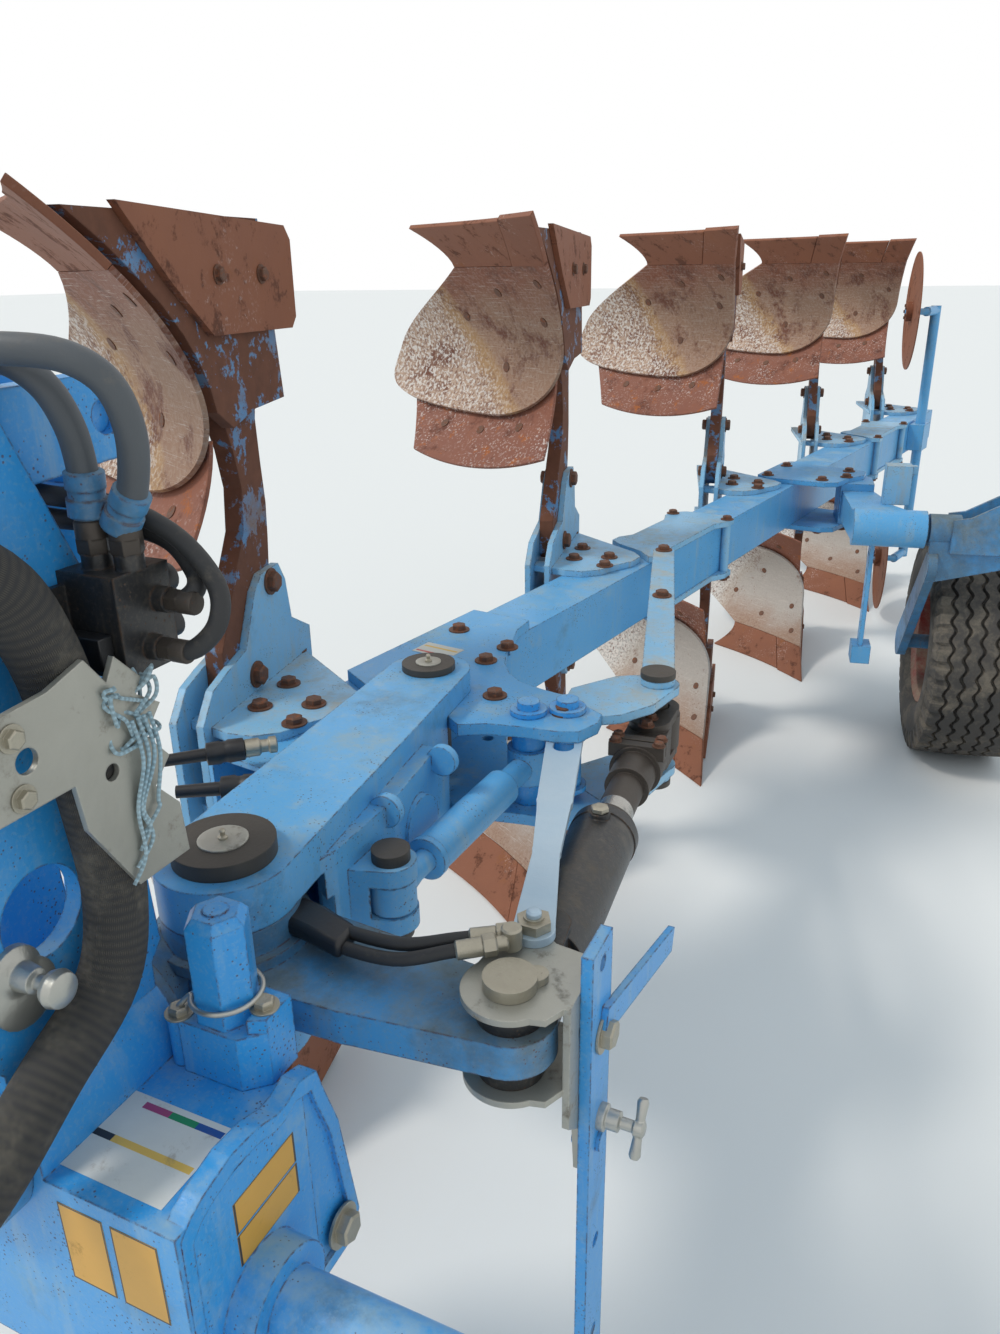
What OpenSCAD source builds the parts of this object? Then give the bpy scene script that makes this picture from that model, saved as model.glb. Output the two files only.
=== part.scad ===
// Five-furrow reversible plough, parked on its lower bodies.
// Millimetres. The tractor stands towards -Y, the driver's left is +X, and Z is up.
// The origin is the middle of the lower link pin line.

/* [Stance] */
// Height of the lower link pins above the ground
hitch_h = 680; // [640:5:720]
// Height of the turnover axis above the lower link pins
turn_z = 190; // [185:1:200]
// Sideways distance from the turnover axis to the frame pivot
pivot_x = 50; // [46:1:54]

/* [Headstock] */
// Distance between the outer faces of the crossbeam's end plates
box_w = 510; // [490:5:540]
// Depth of the crossbeam from front to rear
box_d = 190; // [180:2:200]
// Height of the crossbeam's top over the link pins
box_top = 178; // [170:1:184]
// Depth of the crossbeam's underside below the link pins
box_drop = 90; // [80:2:100]
// Wall of the crossbeam
box_wall = 14; // [10:1:18]
// Thickness of an end plate
end_t = 22; // [16:1:26]
// Clear width between the tower plates
tower_gap = 110; // [104:2:116]
// Thickness of a tower plate
tower_t = 20; // [16:1:24]
// Height of the tower's top over the link pins
tower_top = 890; // [870:5:920]
// Height of the lower top link hole over the link pins
top_link_z = 640; // [600:5:680]
// Distance between the two top link holes
top_link_pitch = 90; // [70:5:110]
// Radius of a top link hole
top_link_r = 16; // [12:0.5:18]
// Distance between the shoulders of the two lower link pins
link_span = 965; // [940:5:980]
// Radius of a lower link pin
link_pin_r = 18.3; // [14:0.1:20]
// Length of a lower link pin outside its shoulder
link_pin_len = 130; // [110:5:150]
// Radius of the sleeve round a link pin
sleeve_r = 38; // [32:1:44]
// Radius of the turnover shaft
shaft_r = 70; // [60:1:74]
// Radial clearance of the shafts and pins
shaft_fit = 0.05; // [0.02:0.01:0.09]
// Radius of the bearing housing
bearing_r = 98; // [94:1:104]
// Distance of the stop posts from the centre plane
post_x = 165; // [162:1:172]
// Height of a stop post over its block
post_h = 125; // [100:5:150]
// Distance from a stop post's centre to its corners
post_r = 34; // [28:1:38]

/* [Turnover cylinder] */
// Radius of the barrel
turn_barrel_r = 38; // [34:1:40]
// Radius of the rod
turn_rod_r = 18; // [14:1:20]
// Distance of the rod's pin from the turnover axis
turn_crank_r = 85; // [80:1:88]
// Radius of the barrel's upper pin
turn_pin_r = 16; // [12:0.5:18]

/* [Turning head] */
// Distance from the lower link pins back to the frame pivot
pivot_y = 250; // [246:1:262]
// Height of the pivot boss
boss_h = 140; // [130:2:150]
// Radius of the pivot boss
boss_r = 84; // [74:1:88]
// Radius of the two frame pivot pins
pivot_pin_r = 35; // [30:1:38]
// Distance of the swing cylinder's front pin from the frame pivot
crank_x = 370; // [360:2:380]
// Thickness of the crank plate
crank_t = 44; // [36:2:48]
// Thickness of the galvanised bracket's plates
galv_t = 8; // [6:0.5:9]

/* [Parking stand] */
// Width of the stand's flat bar
stand_w = 62; // [50:1:64]
// Thickness of the stand's flat bar
stand_t = 14; // [10:0.5:16]
// Height of the fold bolt over the link pins
stand_hinge_z = 20; // [0:2:40]
// Side of the stand's foot plate
foot_w = 150; // [120:5:160]

/* [Swing cylinder] */
// Radius of the barrel
swing_barrel_r = 49; // [44:1:49]
// Radius of the rod
swing_rod_r = 28; // [20:1:32]
// Distance from the front pin to the barrel's rear end
swing_barrel_len = 430; // [420:5:450]
// Radius of the cylinder's pins
swing_pin_r = 20; // [16:0.5:22]

/* [Frame] */
// Side of the square beam
beam_w = 140; // [136:2:144]
// Wall of the square beam
beam_wall = 10; // [8:0.5:14]
// Distance of the beam's centre line from the frame pivot, square to the beam
beam_off = 269; // [266:1:273]
// Angle of the beam to the line of travel while it is swung in
beam_yaw = 8.56; // [7:0.01:10]
// Distance from the frame pivot to the beam's front end, along the beam
beam_start = 262; // [250:2:280]
// Length of the beam behind the last body's share point
beam_tail = 577; // [570:2:600]
// Thickness of the head plates
head_t = 20; // [16:1:24]
// Radius of the casting round the rear pivot
rear_ear_r = 72; // [66:1:76]
// Thickness of a body bracket's plates
bracket_t = 16; // [12:1:20]
// Width of the strap between outrigger and second bracket
strap_w = 54; // [44:2:60]

/* [Bodies] */
// Number of furrows
bodies = 5; // [5:1:5]
// Distance between two bodies along the beam
body_pitch = 1087; // [1070:1:1095]
// Height of the beam's centre over the share points
body_h = 870; // [850:5:880]
// Angle of the bodies to the line of travel while the beam is swung in
body_yaw = 10.5; // [9:0.1:12]
// Thickness of a mouldboard
mould_t = 9; // [7:0.5:12]
// Length of the share line
share_len = 537; // [500:5:560]
// Length of a mouldboard along its widest line
mould_len = 656; // [620:4:680]
// Height of the joint between share and mouldboard
share_h = 92; // [80:2:104]
// Height of a mouldboard's top
mould_top = 445; // [425:5:465]
// Height of a trash board over the mouldboard's top
trash_h = 105; // [80:5:115]
// Thickness of a leg
leg_t = 34; // [28:1:38]

/* [Depth wheel] */
// Radius of the tyre over its tread
tyre_r = 390; // [380:2:400]
// Width of the tyre
tyre_w = 320; // [290:5:330]
// Depth of the grooves between the tread's ribs
tread_h = 16; // [10:1:20]
// Radius of the rim's well
rim_r = 200; // [190:2:210]
// Distance the wheel trails behind its pivot tube
wheel_trail = 327; // [310:2:340]
// Radius of the pivot tube
pivot_tube_r = 58; // [52:1:62]
// Radius of the stub axle
stub_r = 25; // [20:0.5:30]

/* [Disc coulters] */
// Radius of a disc coulter
disc_r = 250; // [230:5:270]
// Thickness of a disc coulter
disc_t = 5; // [4:0.5:7]
// Radius of a coulter's stub axle
disc_axle_r = 14; // [10:0.5:18]

/* [Hidden] */
$fn = 48;
gap = 0.3;
// Amount by which straight sides cut inside the round ends they join
side_cut = 0.6;
ground_z = -hitch_h;
beam_h2 = beam_w / 2;
plate_z = turn_z + beam_h2;
// Plan places measured from the frame pivot, across and along the beam
pin_b = [-153, 604];
pin_t2 = [46, 611];
pin_s = [97, 651];
pin_e = [170, 845];
// Plan places in the machine's own axes
pin_a = [pivot_x, pivot_y];
pin_t1 = [pivot_x + 118, pivot_y + 178];
pin_c = [pivot_x + crank_x, pivot_y];
pin_d = [pin_c[0] - 11, pivot_y + 92];
stand_at = [pin_c[0] + 80, pivot_y + 50];
// Radii of the small pins
tie_pin_r = 16;
lever_pin_r = 12;
spool_pin_r = 14;
leg_bolt_r = 15;

// A point given across and along the beam, in the machine's axes
function from_beam(p) = [
  pivot_x + p[0] * cos(beam_yaw) + p[1] * sin(beam_yaw),
  pivot_y - p[0] * sin(beam_yaw) + p[1] * cos(beam_yaw)
];
function unit(v) = v / norm(v);
function lerp(a, b, t) = a + (b - a) * t;
// The points of an outline drawn in towards a middle point
function drawn_in(points, middle, k) = [for (p = points) lerp(middle, p, k)];
// Distance along the beam of a body's share point
function body_along(i) = 37 + (i - 1) * body_pitch;
function body_at(i) = from_beam([-beam_off, body_along(i)]);

module at_beam() translate([pivot_x, pivot_y, 0]) rotate([0, 0, -beam_yaw]) children();
module at_body(i) {
  p = body_at(i);
  translate([p[0], p[1], turn_z - body_h]) rotate([0, 0, body_yaw]) children();
}
// A piece and its mirror image through the plane of the beam
module both_ways() {
  children();
  translate([0, 0, 2 * turn_z]) mirror([0, 0, 1]) children();
}
module both_sides() {
  children();
  mirror([1, 0, 0]) children();
}
module disc(p, r, z0, z1) translate([p[0], p[1], z0]) cylinder(h = z1 - z0, r = r);
module ring(p, r, bore, z0, z1)
  difference() {
    disc(p, r, z0, z1);
    disc(p, bore, z0 - 1, z1 + 1);
  }
// A flat link with a round end at each of its two points
module link_2d(p1, r1, p2, r2) {
  d = norm(p2 - p1);
  a = atan2(p2[1] - p1[1], p2[0] - p1[0]);
  t = acos((r1 - r2) / d);
  translate(p1) circle(r = r1);
  translate(p2) circle(r = r2);
  // The straight sides cut just inside the round ends
  polygon([
    p1 + (r1 - side_cut) * [cos(a + t), sin(a + t)],
    p1 + (r1 - side_cut) * [cos(a - t), sin(a - t)],
    p2 + (r2 - side_cut) * [cos(a - t), sin(a - t)],
    p2 + (r2 - side_cut) * [cos(a + t), sin(a + t)]
  ]);
}
module link(p1, r1, p2, r2, z0, z1)
  translate([0, 0, z0]) linear_extrude(z1 - z0) link_2d(p1, r1, p2, r2);
// A cylinder from one point to another
module bar(p1, p2, r) {
  v = p2 - p1;
  translate(p1)
    rotate([0, acos(v[2] / norm(v)), atan2(v[1], v[0])])
      cylinder(h = norm(v), r = r);
}
// A cylinder along X or along Y
module along_x(x0, x1, r, y = 0, z = 0)
  translate([x0, y, z]) rotate([0, 90, 0]) cylinder(h = x1 - x0, r = r);
module along_y(y0, y1, r, x = 0, z = turn_z)
  translate([x, y1, z]) rotate([90, 0, 0]) cylinder(h = y1 - y0, r = r);
// A plate in the YZ plane, between two places on X
module side_plate(x0, x1)
  translate([x0, 0, 0]) rotate([90, 0, 90]) linear_extrude(x1 - x0) children();
// A plate in the XZ plane, between two places on Y
module front_plate(y0, y1)
  translate([0, y1, 0]) rotate([90, 0, 0]) linear_extrude(y1 - y0) children();

// A hose swept along a smooth curve through its route's points
hose_sides = 8;
hose_steps = 3;
function curve_point(a, b, c, d, t) =
  0.5 * (2 * b + (c - a) * t + (2 * a - 5 * b + 4 * c - d) * t * t + (3 * b - a - 3 * c + d) * t * t * t);
function smooth(p) = let (n = len(p) - 1) [
  for (i = [0:n - 1]) for (k = [0:hose_steps - 1])
    curve_point(p[max(i - 1, 0)], p[i], p[i + 1], p[min(i + 2, n)], k / hose_steps),
  p[n]
];
function tangent(p, i) = unit(p[min(i + 1, len(p) - 1)] - p[max(i - 1, 0)]);
function side_axes(p, i = 0, last = [0.2, 0.3, 1]) =
  i == len(p) ? [] :
  let (t = tangent(p, i), n = unit(last - t * (last * t))) concat([n], side_axes(p, i + 1, n));
module hose(route, r) {
  p = smooth(route);
  n = side_axes(p);
  m = len(p) - 1;
  s = hose_sides;
  polyhedron(
    [for (i = [0:m]) for (k = [0:s - 1])
      p[i] + r * (cos(k * 360 / s) * n[i] + sin(k * 360 / s) * cross(tangent(p, i), n[i]))],
    concat(
      [[for (k = [0:s - 1]) k], [for (k = [s - 1:-1:0]) m * s + k]],
      [for (i = [0:m - 1]) for (k = [0:s - 1]) let (a = i * s + k, b = i * s + (k + 1) % s) each
        [[a, a + s, b + s], [a, b + s, b]]]
    ));
}

// Headstock
box_back = box_d / 2;
end_plate = [
  [-box_back + 4, -box_drop + 10], [-box_back + 4, 60], [-box_back + 6, box_top - 8], [-74, box_top + 6],
  [-57, box_top + 13], [-17, box_top + 22], [23, box_top + 18], [52, box_top + 7], [70, box_top + 7],
  [box_back - 4, box_top + 15], [box_back + 25, box_top + 5], [box_back + 32, box_top - 21],
  [box_back + 54, 89], [box_back + 78, -box_drop + 20], [box_back + 62, -box_drop - 10],
  [-box_back + 30, -box_drop - 10]
];
rim_depth = 6;
sleeve_end = link_span / 2 - 12;
turn_top = [0, box_back + 70, tower_top - 50];
turn_low = [-turn_crank_r, box_back + 41, turn_z];
flange_r = 88;
module tower_plate_2d() {
  difference() {
    polygon([
      [-box_back + 3, box_top - 1], [-box_back + 3, 290], [-box_back - 15, 312], [-box_back - 15, top_link_z - 60],
      [-80, tower_top], [20, tower_top],
      [box_back - 5, top_link_z + 80], [box_back + 15, turn_z + bearing_r + 14],
      [box_back - 2, turn_z + bearing_r - 4], [box_back - 2, box_top - 1]
    ]);
    for (k = [0, 1])
      translate([-70, top_link_z + k * top_link_pitch]) circle(r = top_link_r);
    translate([-20, 420]) circle(r = 45);
  }
}
module headstock() color("dodgerblue") {
  difference() {
    union() {
      difference() {
        translate([-box_w / 2 + 1, -box_back, -box_drop]) cube([box_w - 2, box_d, box_top + box_drop]);
        translate([-box_w / 2 + end_t, -box_back + box_wall, -box_drop + box_wall])
          cube([box_w - 2 * end_t, box_d - 2 * box_wall, box_top + box_drop - 2 * box_wall]);
      }
      both_sides() {
        difference() {
          side_plate(box_w / 2 - end_t, box_w / 2) polygon(end_plate);
          side_plate(box_w / 2 - rim_depth, box_w / 2 + 1) polygon(drawn_in(end_plate, [20, 40], 0.88));
        }
        along_x(box_w / 2 - end_t + 2, box_w / 2 + 34, 60);
        along_x(box_w / 2, sleeve_end, sleeve_r);
        side_plate(tower_gap / 2, tower_gap / 2 + tower_t) tower_plate_2d();
        // Ears for the turnover cylinder's upper pin
        side_plate(tower_gap / 2 - 24, tower_gap / 2 + 1)
          link_2d([-20, turn_top[2] - 10], 44, [turn_top[1], turn_top[2]], 40);
      }
      along_y(-box_back, box_back, bearing_r);
    }
    along_y(-box_back - 1, box_back + 1, shaft_r + shaft_fit);
    both_sides() along_x(box_w / 2 - 110, sleeve_end + 1, link_pin_r + 4 + shaft_fit);
    along_x(-tower_gap, tower_gap, turn_pin_r + shaft_fit, turn_top[1], turn_top[2]);
  }
}
module lower_link_pins() color("silver") {
  both_sides() {
    along_x(box_w / 2 - 100, sleeve_end + 1, link_pin_r + 4);
    along_x(sleeve_end + gap, link_span / 2, sleeve_r - 2);
    along_x(link_span / 2 - 1, link_span / 2 + link_pin_len, link_pin_r);
  }
}
post_y = box_back + 7;
block_h = 66;
module stop_posts() color("dodgerblue") {
  base = box_top + gap;
  both_sides() {
    translate([post_x, post_y, base + block_h - 1]) cylinder(h = post_h - 9, r = post_r, $fn = 6);
    translate([post_x, post_y, base + block_h + post_h - 10]) cylinder(h = 10, r1 = post_r, r2 = post_r - 9, $fn = 6);
    disc([post_x, post_y], 13, base + block_h + post_h - 1, base + block_h + post_h + 2);
    translate([0, 0, base]) linear_extrude(block_h) {
      polygon([
        [post_x - 58, post_y - 4], [post_x - 40, post_y - 34], [post_x + 34, post_y - 34],
        [post_x + 58, post_y - 12], [post_x + 58, post_y + 30], [post_x - 40, post_y + 30], [post_x - 58, post_y + 8]
      ]);
      translate([post_x - 52, post_y - 20]) circle(r = 12);
    }
    // Raised wall behind and beside the post
    translate([0, 0, base + block_h - 1]) linear_extrude(18)
      polygon([
        [post_x + 40, post_y - 22], [post_x + 58, post_y - 12], [post_x + 58, post_y + 30],
        [post_x - 10, post_y + 30], [post_x - 6, post_y + 22], [post_x + 36, post_y + 16]
      ]);
  }
}
module turnover_cylinder() color("dodgerblue") {
  dir = unit(turn_low - turn_top);
  len = norm(turn_low - turn_top);
  bar(turn_top, turn_top + dir * 70, 26);
  bar(turn_top + dir * 60, turn_top + dir * 330, turn_barrel_r);
  bar(turn_top + dir * 320, turn_top + dir * 340, turn_barrel_r - 8);
  bar(turn_top + dir * 330, turn_top + dir * (len - 24), turn_rod_r);
  along_y(turn_low[1] - 12, turn_low[1] + 12, 30, turn_low[0]);
  // The crank pin's end, just clear of the turning flange
  along_y(box_back + 24, turn_low[1], 15, turn_low[0]);
  along_x(-tower_gap / 2 + 10, tower_gap / 2 - 10, turn_pin_r, turn_top[1], turn_top[2]);
}
// Valve block on the left tower plate, with its hoses, and the notched holder in front of it
tower_out = tower_gap / 2 + tower_t;
valve_w = 66;
valve_top = 722;
fitting_len = 14;
top_fittings = [[tower_out + 26, 86], [tower_out + 56, 94]];
side_fittings = [[95, 650], [112, 690]];
module valve_block() color("black") {
  translate([tower_out + gap, 62, 628]) cube([valve_w, 66, valve_top - 628]);
  translate([tower_out + gap, 40, 640]) cube([8, 30, 70]);
  for (p = side_fittings)
    along_x(tower_out + valve_w - 1, tower_out + valve_w + fitting_len, 12, p[0], p[1]);
  for (p = top_fittings)
    disc(p, 13, valve_top - 1, valve_top + fitting_len);
}
module hose_holder() color("gainsboro") {
  // Web on the tower plate, then the notched plate beyond the hoses
  translate([tower_out + gap, -box_back, 566]) cube([74, 7, 84]);
  difference() {
    side_plate(tower_out + 68, tower_out + 74 + gap)
      polygon([
        [-95, 566], [-95, 650], [-30, 655], [10, 668], [30, 640], [42, 660], [68, 632], [60, 618], [86, 600],
        [64, 576], [88, 546], [66, 524], [92, 494], [96, 440], [30, 440], [-15, 520], [-20, 566]
      ]);
    along_x(tower_out, tower_out + 100, 11, -60, 608);
    along_x(tower_out, tower_out + 100, 8, 20, 560);
  }
}
grey_hose_r = 13;
black_hose_r = 9;
module tower_hoses() color("dimgray") {
  grey_end = valve_top + fitting_len + 1;
  black_end = tower_out + valve_w + fitting_len + 2;
  hose([[-36, -8, 904], [30, 6, 908], [96, 26, 910], [142, 48, 904], [166, 66, 882], [168, 80, 842],
        [150, 92, 796], [top_fittings[1][0], 94, 764], [top_fittings[1][0], 94, grey_end]], grey_hose_r);
  hose([[-36, 24, 906], [10, 38, 908], [60, 56, 902], [92, 68, 880], [106, 76, 846], [104, 84, 806],
        [101, 86, 772], [top_fittings[0][0], 86, grey_end]], grey_hose_r);
  hose([[-50, 86, 786], [0, 92, 784], [50, 94, 780], [110, 114, 770], [160, 126, 744], [198, 124, 706],
        [207, 110, 676], [190, 98, 654], [black_end + 10, 95, 650], [black_end, 95, 650]], black_hose_r);
  hose([[-50, 84, 762], [0, 92, 762], [50, 98, 758], [100, 126, 750], [136, 140, 736], [164, 136, 712],
        [176, 122, 700], [black_end + 10, 112, 690], [black_end, 112, 690]], black_hose_r);
}
module hose_sleeve() color("dimgray") {
  hose([[112, -70, 770], [112, -24, 733], [113.2, 0, 680], [113.2, 14, 620], [113.2, 26, 516], [113.2, 30, 420],
        [113.2, 4, 340], [113.2, -76, 290], [113.2, -146, 246], [92, -186, 200]], 30);
}

// Turning head
module turning_head() color("steelblue") {
  difference() {
    union() {
      along_y(-box_back - 26, pivot_y - 20, shaft_r - 24);
      along_y(-box_back - gap - 12, box_back + gap + 4, shaft_r);
      along_y(box_back + gap, box_back + gap + 18, flange_r);
      along_y(-box_back - gap - 26, -box_back - gap, shaft_r + 16);
      disc(pin_a, boss_r, turn_z - boss_h / 2, turn_z + boss_h / 2);
      both_ways() disc(pin_a, boss_r + 12, turn_z + crank_t / 2 - 1, turn_z + crank_t / 2 + 14);
      translate([0, 0, turn_z - crank_t / 2]) linear_extrude(crank_t) crank_2d();
    }
    disc(pin_a, pivot_pin_r + shaft_fit, turn_z - boss_h, turn_z + boss_h);
    disc(pin_c, swing_pin_r + shaft_fit, turn_z - boss_h, turn_z + boss_h);
  }
}
crank_middle = [pivot_x + 190, pivot_y - 2];
crank_middle_r = 72;
module crank_2d() {
  link_2d(pin_a, boss_r, crank_middle, crank_middle_r);
  link_2d(crank_middle, crank_middle_r, pin_c, 52);
}
galv_low = 50;
galv_top = turn_z + galv_low + galv_t;
// The swing cylinder's front pin with its lobed head, and the lever's pin with its nut
module crank_pins() color("gainsboro") {
  disc(pin_c, swing_pin_r, turn_z - galv_low - galv_t - 6, galv_top + gap + 1);
  disc(pin_c, 30, galv_top + gap, galv_top + 15);
  link(pin_c + [4, 4], 20, pin_c + [22, 22], 13, galv_top + gap, galv_top + 9);
  disc(pin_d, lever_pin_r, turn_z + galv_low, lever_low + lever_t + 16);
  translate([pin_d[0], pin_d[1], lever_low + lever_t + gap]) cylinder(h = 12, r = 21, $fn = 6);
}
// Galvanised bracket round the crank's end, with the web that carries the stand
module stand_bracket() color("gainsboro") {
  web_x = stand_at[0] - stand_t / 2 - galv_t - gap;
  difference() {
    union() {
      both_ways() translate([0, 0, turn_z + galv_low]) linear_extrude(galv_t) galv_2d(web_x);
      side_plate(web_x, web_x + galv_t)
        polygon([
          [stand_at[1] - 60, galv_top], [stand_at[1] + 32, galv_top], [stand_at[1] + 32, 96],
          [stand_at[1] + 22, stand_hinge_z - 30], [stand_at[1] - 22, stand_hinge_z - 30],
          [stand_at[1] - 30, stand_hinge_z + 40], [stand_at[1] - 60, stand_hinge_z + 66]
        ]);
    }
    disc(pin_c, swing_pin_r + shaft_fit, 0, 2 * turn_z);
    disc(pin_d, lever_pin_r + shaft_fit, 0, 2 * turn_z);
    along_x(web_x - 1, web_x + galv_t + 1, lever_pin_r + shaft_fit, stand_at[1], stand_hinge_z);
    along_x(web_x - 1, web_x + galv_t + 1, 13, stand_at[1] - 20, turn_z + 6);
  }
}
module galv_2d(web_x) {
  translate(pin_c) circle(r = 54);
  translate(pin_d) circle(r = 20);
  polygon([
    [pin_c[0] - 10, pivot_y - 50], [web_x - 10, pivot_y - 34], [web_x + 1, stand_at[1] - 60],
    [web_x + 1, stand_at[1] + 32], [pin_c[0] + 18, pivot_y + 88], [pin_d[0] + 16, pivot_y + 98],
    [pin_d[0] - 17, pivot_y + 94], [pin_c[0] - 46, pivot_y + 60], [pin_c[0] - 50, pivot_y + 10]
  ]);
}
module stand() color("dodgerblue") {
  difference() {
    union() {
      translate([stand_at[0] - stand_t / 2, stand_at[1] - stand_w / 2, ground_z + 10])
        cube([stand_t, stand_w, turn_z + 105 - ground_z - 10]);
      translate([stand_at[0] - foot_w / 2, stand_at[1] - foot_w / 2, ground_z])
        cube([foot_w, foot_w, 12]);
    }
    for (z = [turn_z + 80, stand_hinge_z - 160, stand_hinge_z - 320])
      along_x(stand_at[0] - stand_t, stand_at[0] + stand_t, 9, stand_at[1], z);
  }
  along_x(stand_at[0] - stand_t - galv_t, stand_at[0] + 12, lever_pin_r, stand_at[1], stand_hinge_z);
  // Flat brace that runs back from the bar's top
  translate([stand_at[0] + stand_t / 2 - 1, stand_at[1] - 8, turn_z - 12]) rotate([-16, 0, 0])
    cube([9, 290, 34]);
}

// Swing cylinder
swing_e = from_beam(pin_e);
swing_len = norm(swing_e - pin_c);
swing_dir = unit([swing_e[0] - pin_c[0], swing_e[1] - pin_c[1], 0]);
swing_base = 125;
tab_low = crank_t / 2 + gap;
function on_swing(d) = [pin_c[0], pin_c[1], turn_z] + swing_dir * d;
function flat(p) = [p[0], p[1]];
module at_swing(d) {
  p = on_swing(d);
  translate(p) rotate([0, 0, atan2(swing_dir[1], swing_dir[0])]) children();
}
module swing_barrel() color("black") {
  difference() {
    union() {
      bar(on_swing(swing_base), on_swing(swing_barrel_len), swing_barrel_r);
      bar(on_swing(swing_base - 8), on_swing(swing_base + 1), swing_barrel_r - 8);
      both_ways() link(pin_c, 38, flat(on_swing(swing_base + 8)), 30, turn_z + tab_low, turn_z + galv_low - gap);
      disc(flat(on_swing(swing_barrel_len - 34)), 15, turn_z + 30, turn_z + swing_barrel_r + 7);
      bar(on_swing(swing_barrel_len - 22), on_swing(swing_barrel_len - 2), swing_barrel_r + 1.5);
    }
    disc(pin_c, swing_pin_r + 1, 0, 2 * turn_z);
    bar(on_swing(swing_base + 25), on_swing(swing_barrel_len + 1), swing_rod_r + gap);
  }
}
module swing_rod() color("silver") {
  eye = swing_len;
  difference() {
    union() {
      bar(on_swing(230), on_swing(eye - 30), swing_rod_r);
      bar(on_swing(eye - 240), on_swing(eye - 120), 36);
      // Split clamp with its two bolt ears, then the square adjusting block
      bar(on_swing(eye - 178), on_swing(eye - 136), 43);
      for (d = [eye - 176, eye - 154])
        at_swing(d) translate([0, -46, 22]) cube([17, 92, 24]);
      at_swing(eye - 104) translate([0, -36, -31]) cube([58, 72, 62]);
      disc(swing_e, 42, turn_z - 30, turn_z + 30);
      both_ways() link(swing_e, 40, flat(on_swing(eye - 60)), 36, turn_z + 29, turn_z + 44);
    }
    disc(swing_e, swing_pin_r + 3, turn_z - 60, turn_z + 60);
  }
}
lever_low = galv_top + gap;
lever_t = plate_z - gap - lever_low - 0.4;
module swing_lever() color("white") {
  s = from_beam(pin_s);
  v = unit(s - pin_d);
  len = norm(s - pin_d);
  difference() {
    translate([0, 0, lever_low]) linear_extrude(lever_t) {
      link_2d(pin_d, 25, pin_d + v * 170, 18);
      link_2d(pin_d + v * 168, 19, pin_d + v * 300, 25);
      link_2d(pin_d + v * 298, 26, pin_d + v * (len + 4), 31);
    }
    link(pin_d + v * (len - 92), 17, pin_d + v * (len + 60), 17, lever_low - 1, lever_low + lever_t + 1);
    disc(pin_d, lever_pin_r + shaft_fit, lever_low - 1, lever_low + lever_t + 1);
  }
}

// Frame
ear_top = boss_h / 2 + gap + 60;
swing_turn = 11;
swing_room = 8;
module casting() color("steelblue") {
  b = from_beam(pin_b);
  top = turn_z + ear_top;
  low = turn_z - ear_top;
  difference() {
    union() {
      link(pin_a, boss_r, b, rear_ear_r, low, top);
      // Shoulder on the crank's side that carries the tie's front lug
      translate([0, 0, turn_z - 92]) linear_extrude(184)
        polygon([
          pin_a + [70, 60], pin_a + [80, 110], pin_a + [82, 250], pin_a + [60, 420], pin_a + [-20, 420],
          pin_a + [-20, 60]
        ]);
      link([pivot_x, pin_t1[1] - 10], 60, pin_t1, 34, turn_z - 50, turn_z + 50);
      along_x(pivot_x + 20, pivot_x + 82, 46, pivot_y + 330, turn_z + 10);
      // Two small lifting tabs on the top edge
      for (y = [pivot_y + 236, pivot_y + 400])
        translate([0, y, 0]) front_plate(-7, 7) translate([pivot_x + 80, turn_z + 84]) circle(r = 24);
    }
    // Room for the boss of the turning head
    disc(pin_a, 116, turn_z - boss_h / 2 - gap, turn_z + boss_h / 2 + gap);
    // Room for the crank when the frame swings
    translate(pin_a) rotate([0, 0, swing_turn])
      link([0, 0], boss_r + swing_room, crank_middle - pin_a, crank_middle_r + swing_room,
           turn_z - crank_t / 2 - swing_room, turn_z + crank_t / 2 + swing_room);
    // Room for the beam's head plates and its front end
    at_beam() translate([0, 0, turn_z - beam_h2 - head_t - gap])
      linear_extrude(beam_w + 2 * head_t + 2 * gap) {
        translate(pin_b) circle(r = 124);
        translate([-beam_off - beam_h2 - 8, beam_start - 8]) square([beam_w + 16, 900]);
      }
    // Hollow between the two pivots
    link([pivot_x, pivot_y + 110], 52, [b[0], b[1] - 110], 44, turn_z - 84, turn_z + 84);
    disc(pin_a, pivot_pin_r + shaft_fit, low - 1, top + 1);
    disc(b, pivot_pin_r + shaft_fit, low - 1, top + 1);
    disc(pin_t1, tie_pin_r + shaft_fit, low, top);
    link(pin_t1, 40, pin_t1 + [20, 60], 40, turn_z - 24, turn_z + 24);
  }
}
head_edge = [[17, 708], [62, 706], [152, 668]];
module head_2d() {
  x0 = -beam_off;
  difference() {
    union() {
      translate(pin_b) circle(r = rear_ear_r);
      polygon(concat(
        [[x0 - beam_h2, 600], [x0 - beam_h2, 1010], [x0 + beam_h2, 1010], [-190, 950], [-165, 895],
         [-140, 832], [-110, 780], [-76, 742], [-36, 717]],
        head_edge,
        [[162, 636], [152, 590], [120, 572], [73, 562], [10, 540], [-28, 512], [-60, 530], [-153, 535], [-240, 552]]
      ));
    }
    translate(pin_b) circle(r = pivot_pin_r + shaft_fit);
    translate(pin_t2) circle(r = tie_pin_r + shaft_fit);
    translate(pin_s) circle(r = spool_pin_r + shaft_fit);
    for (p = [[-150, 850], [-146, 770], [-40, 640]])
      translate(p) circle(r = 11);
  }
}
module head_plates() color("steelblue") {
  at_beam() both_ways()
    translate([0, 0, plate_z]) linear_extrude(head_t) head_2d();
}
beam_end = body_along(bodies) + beam_tail;
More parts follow.
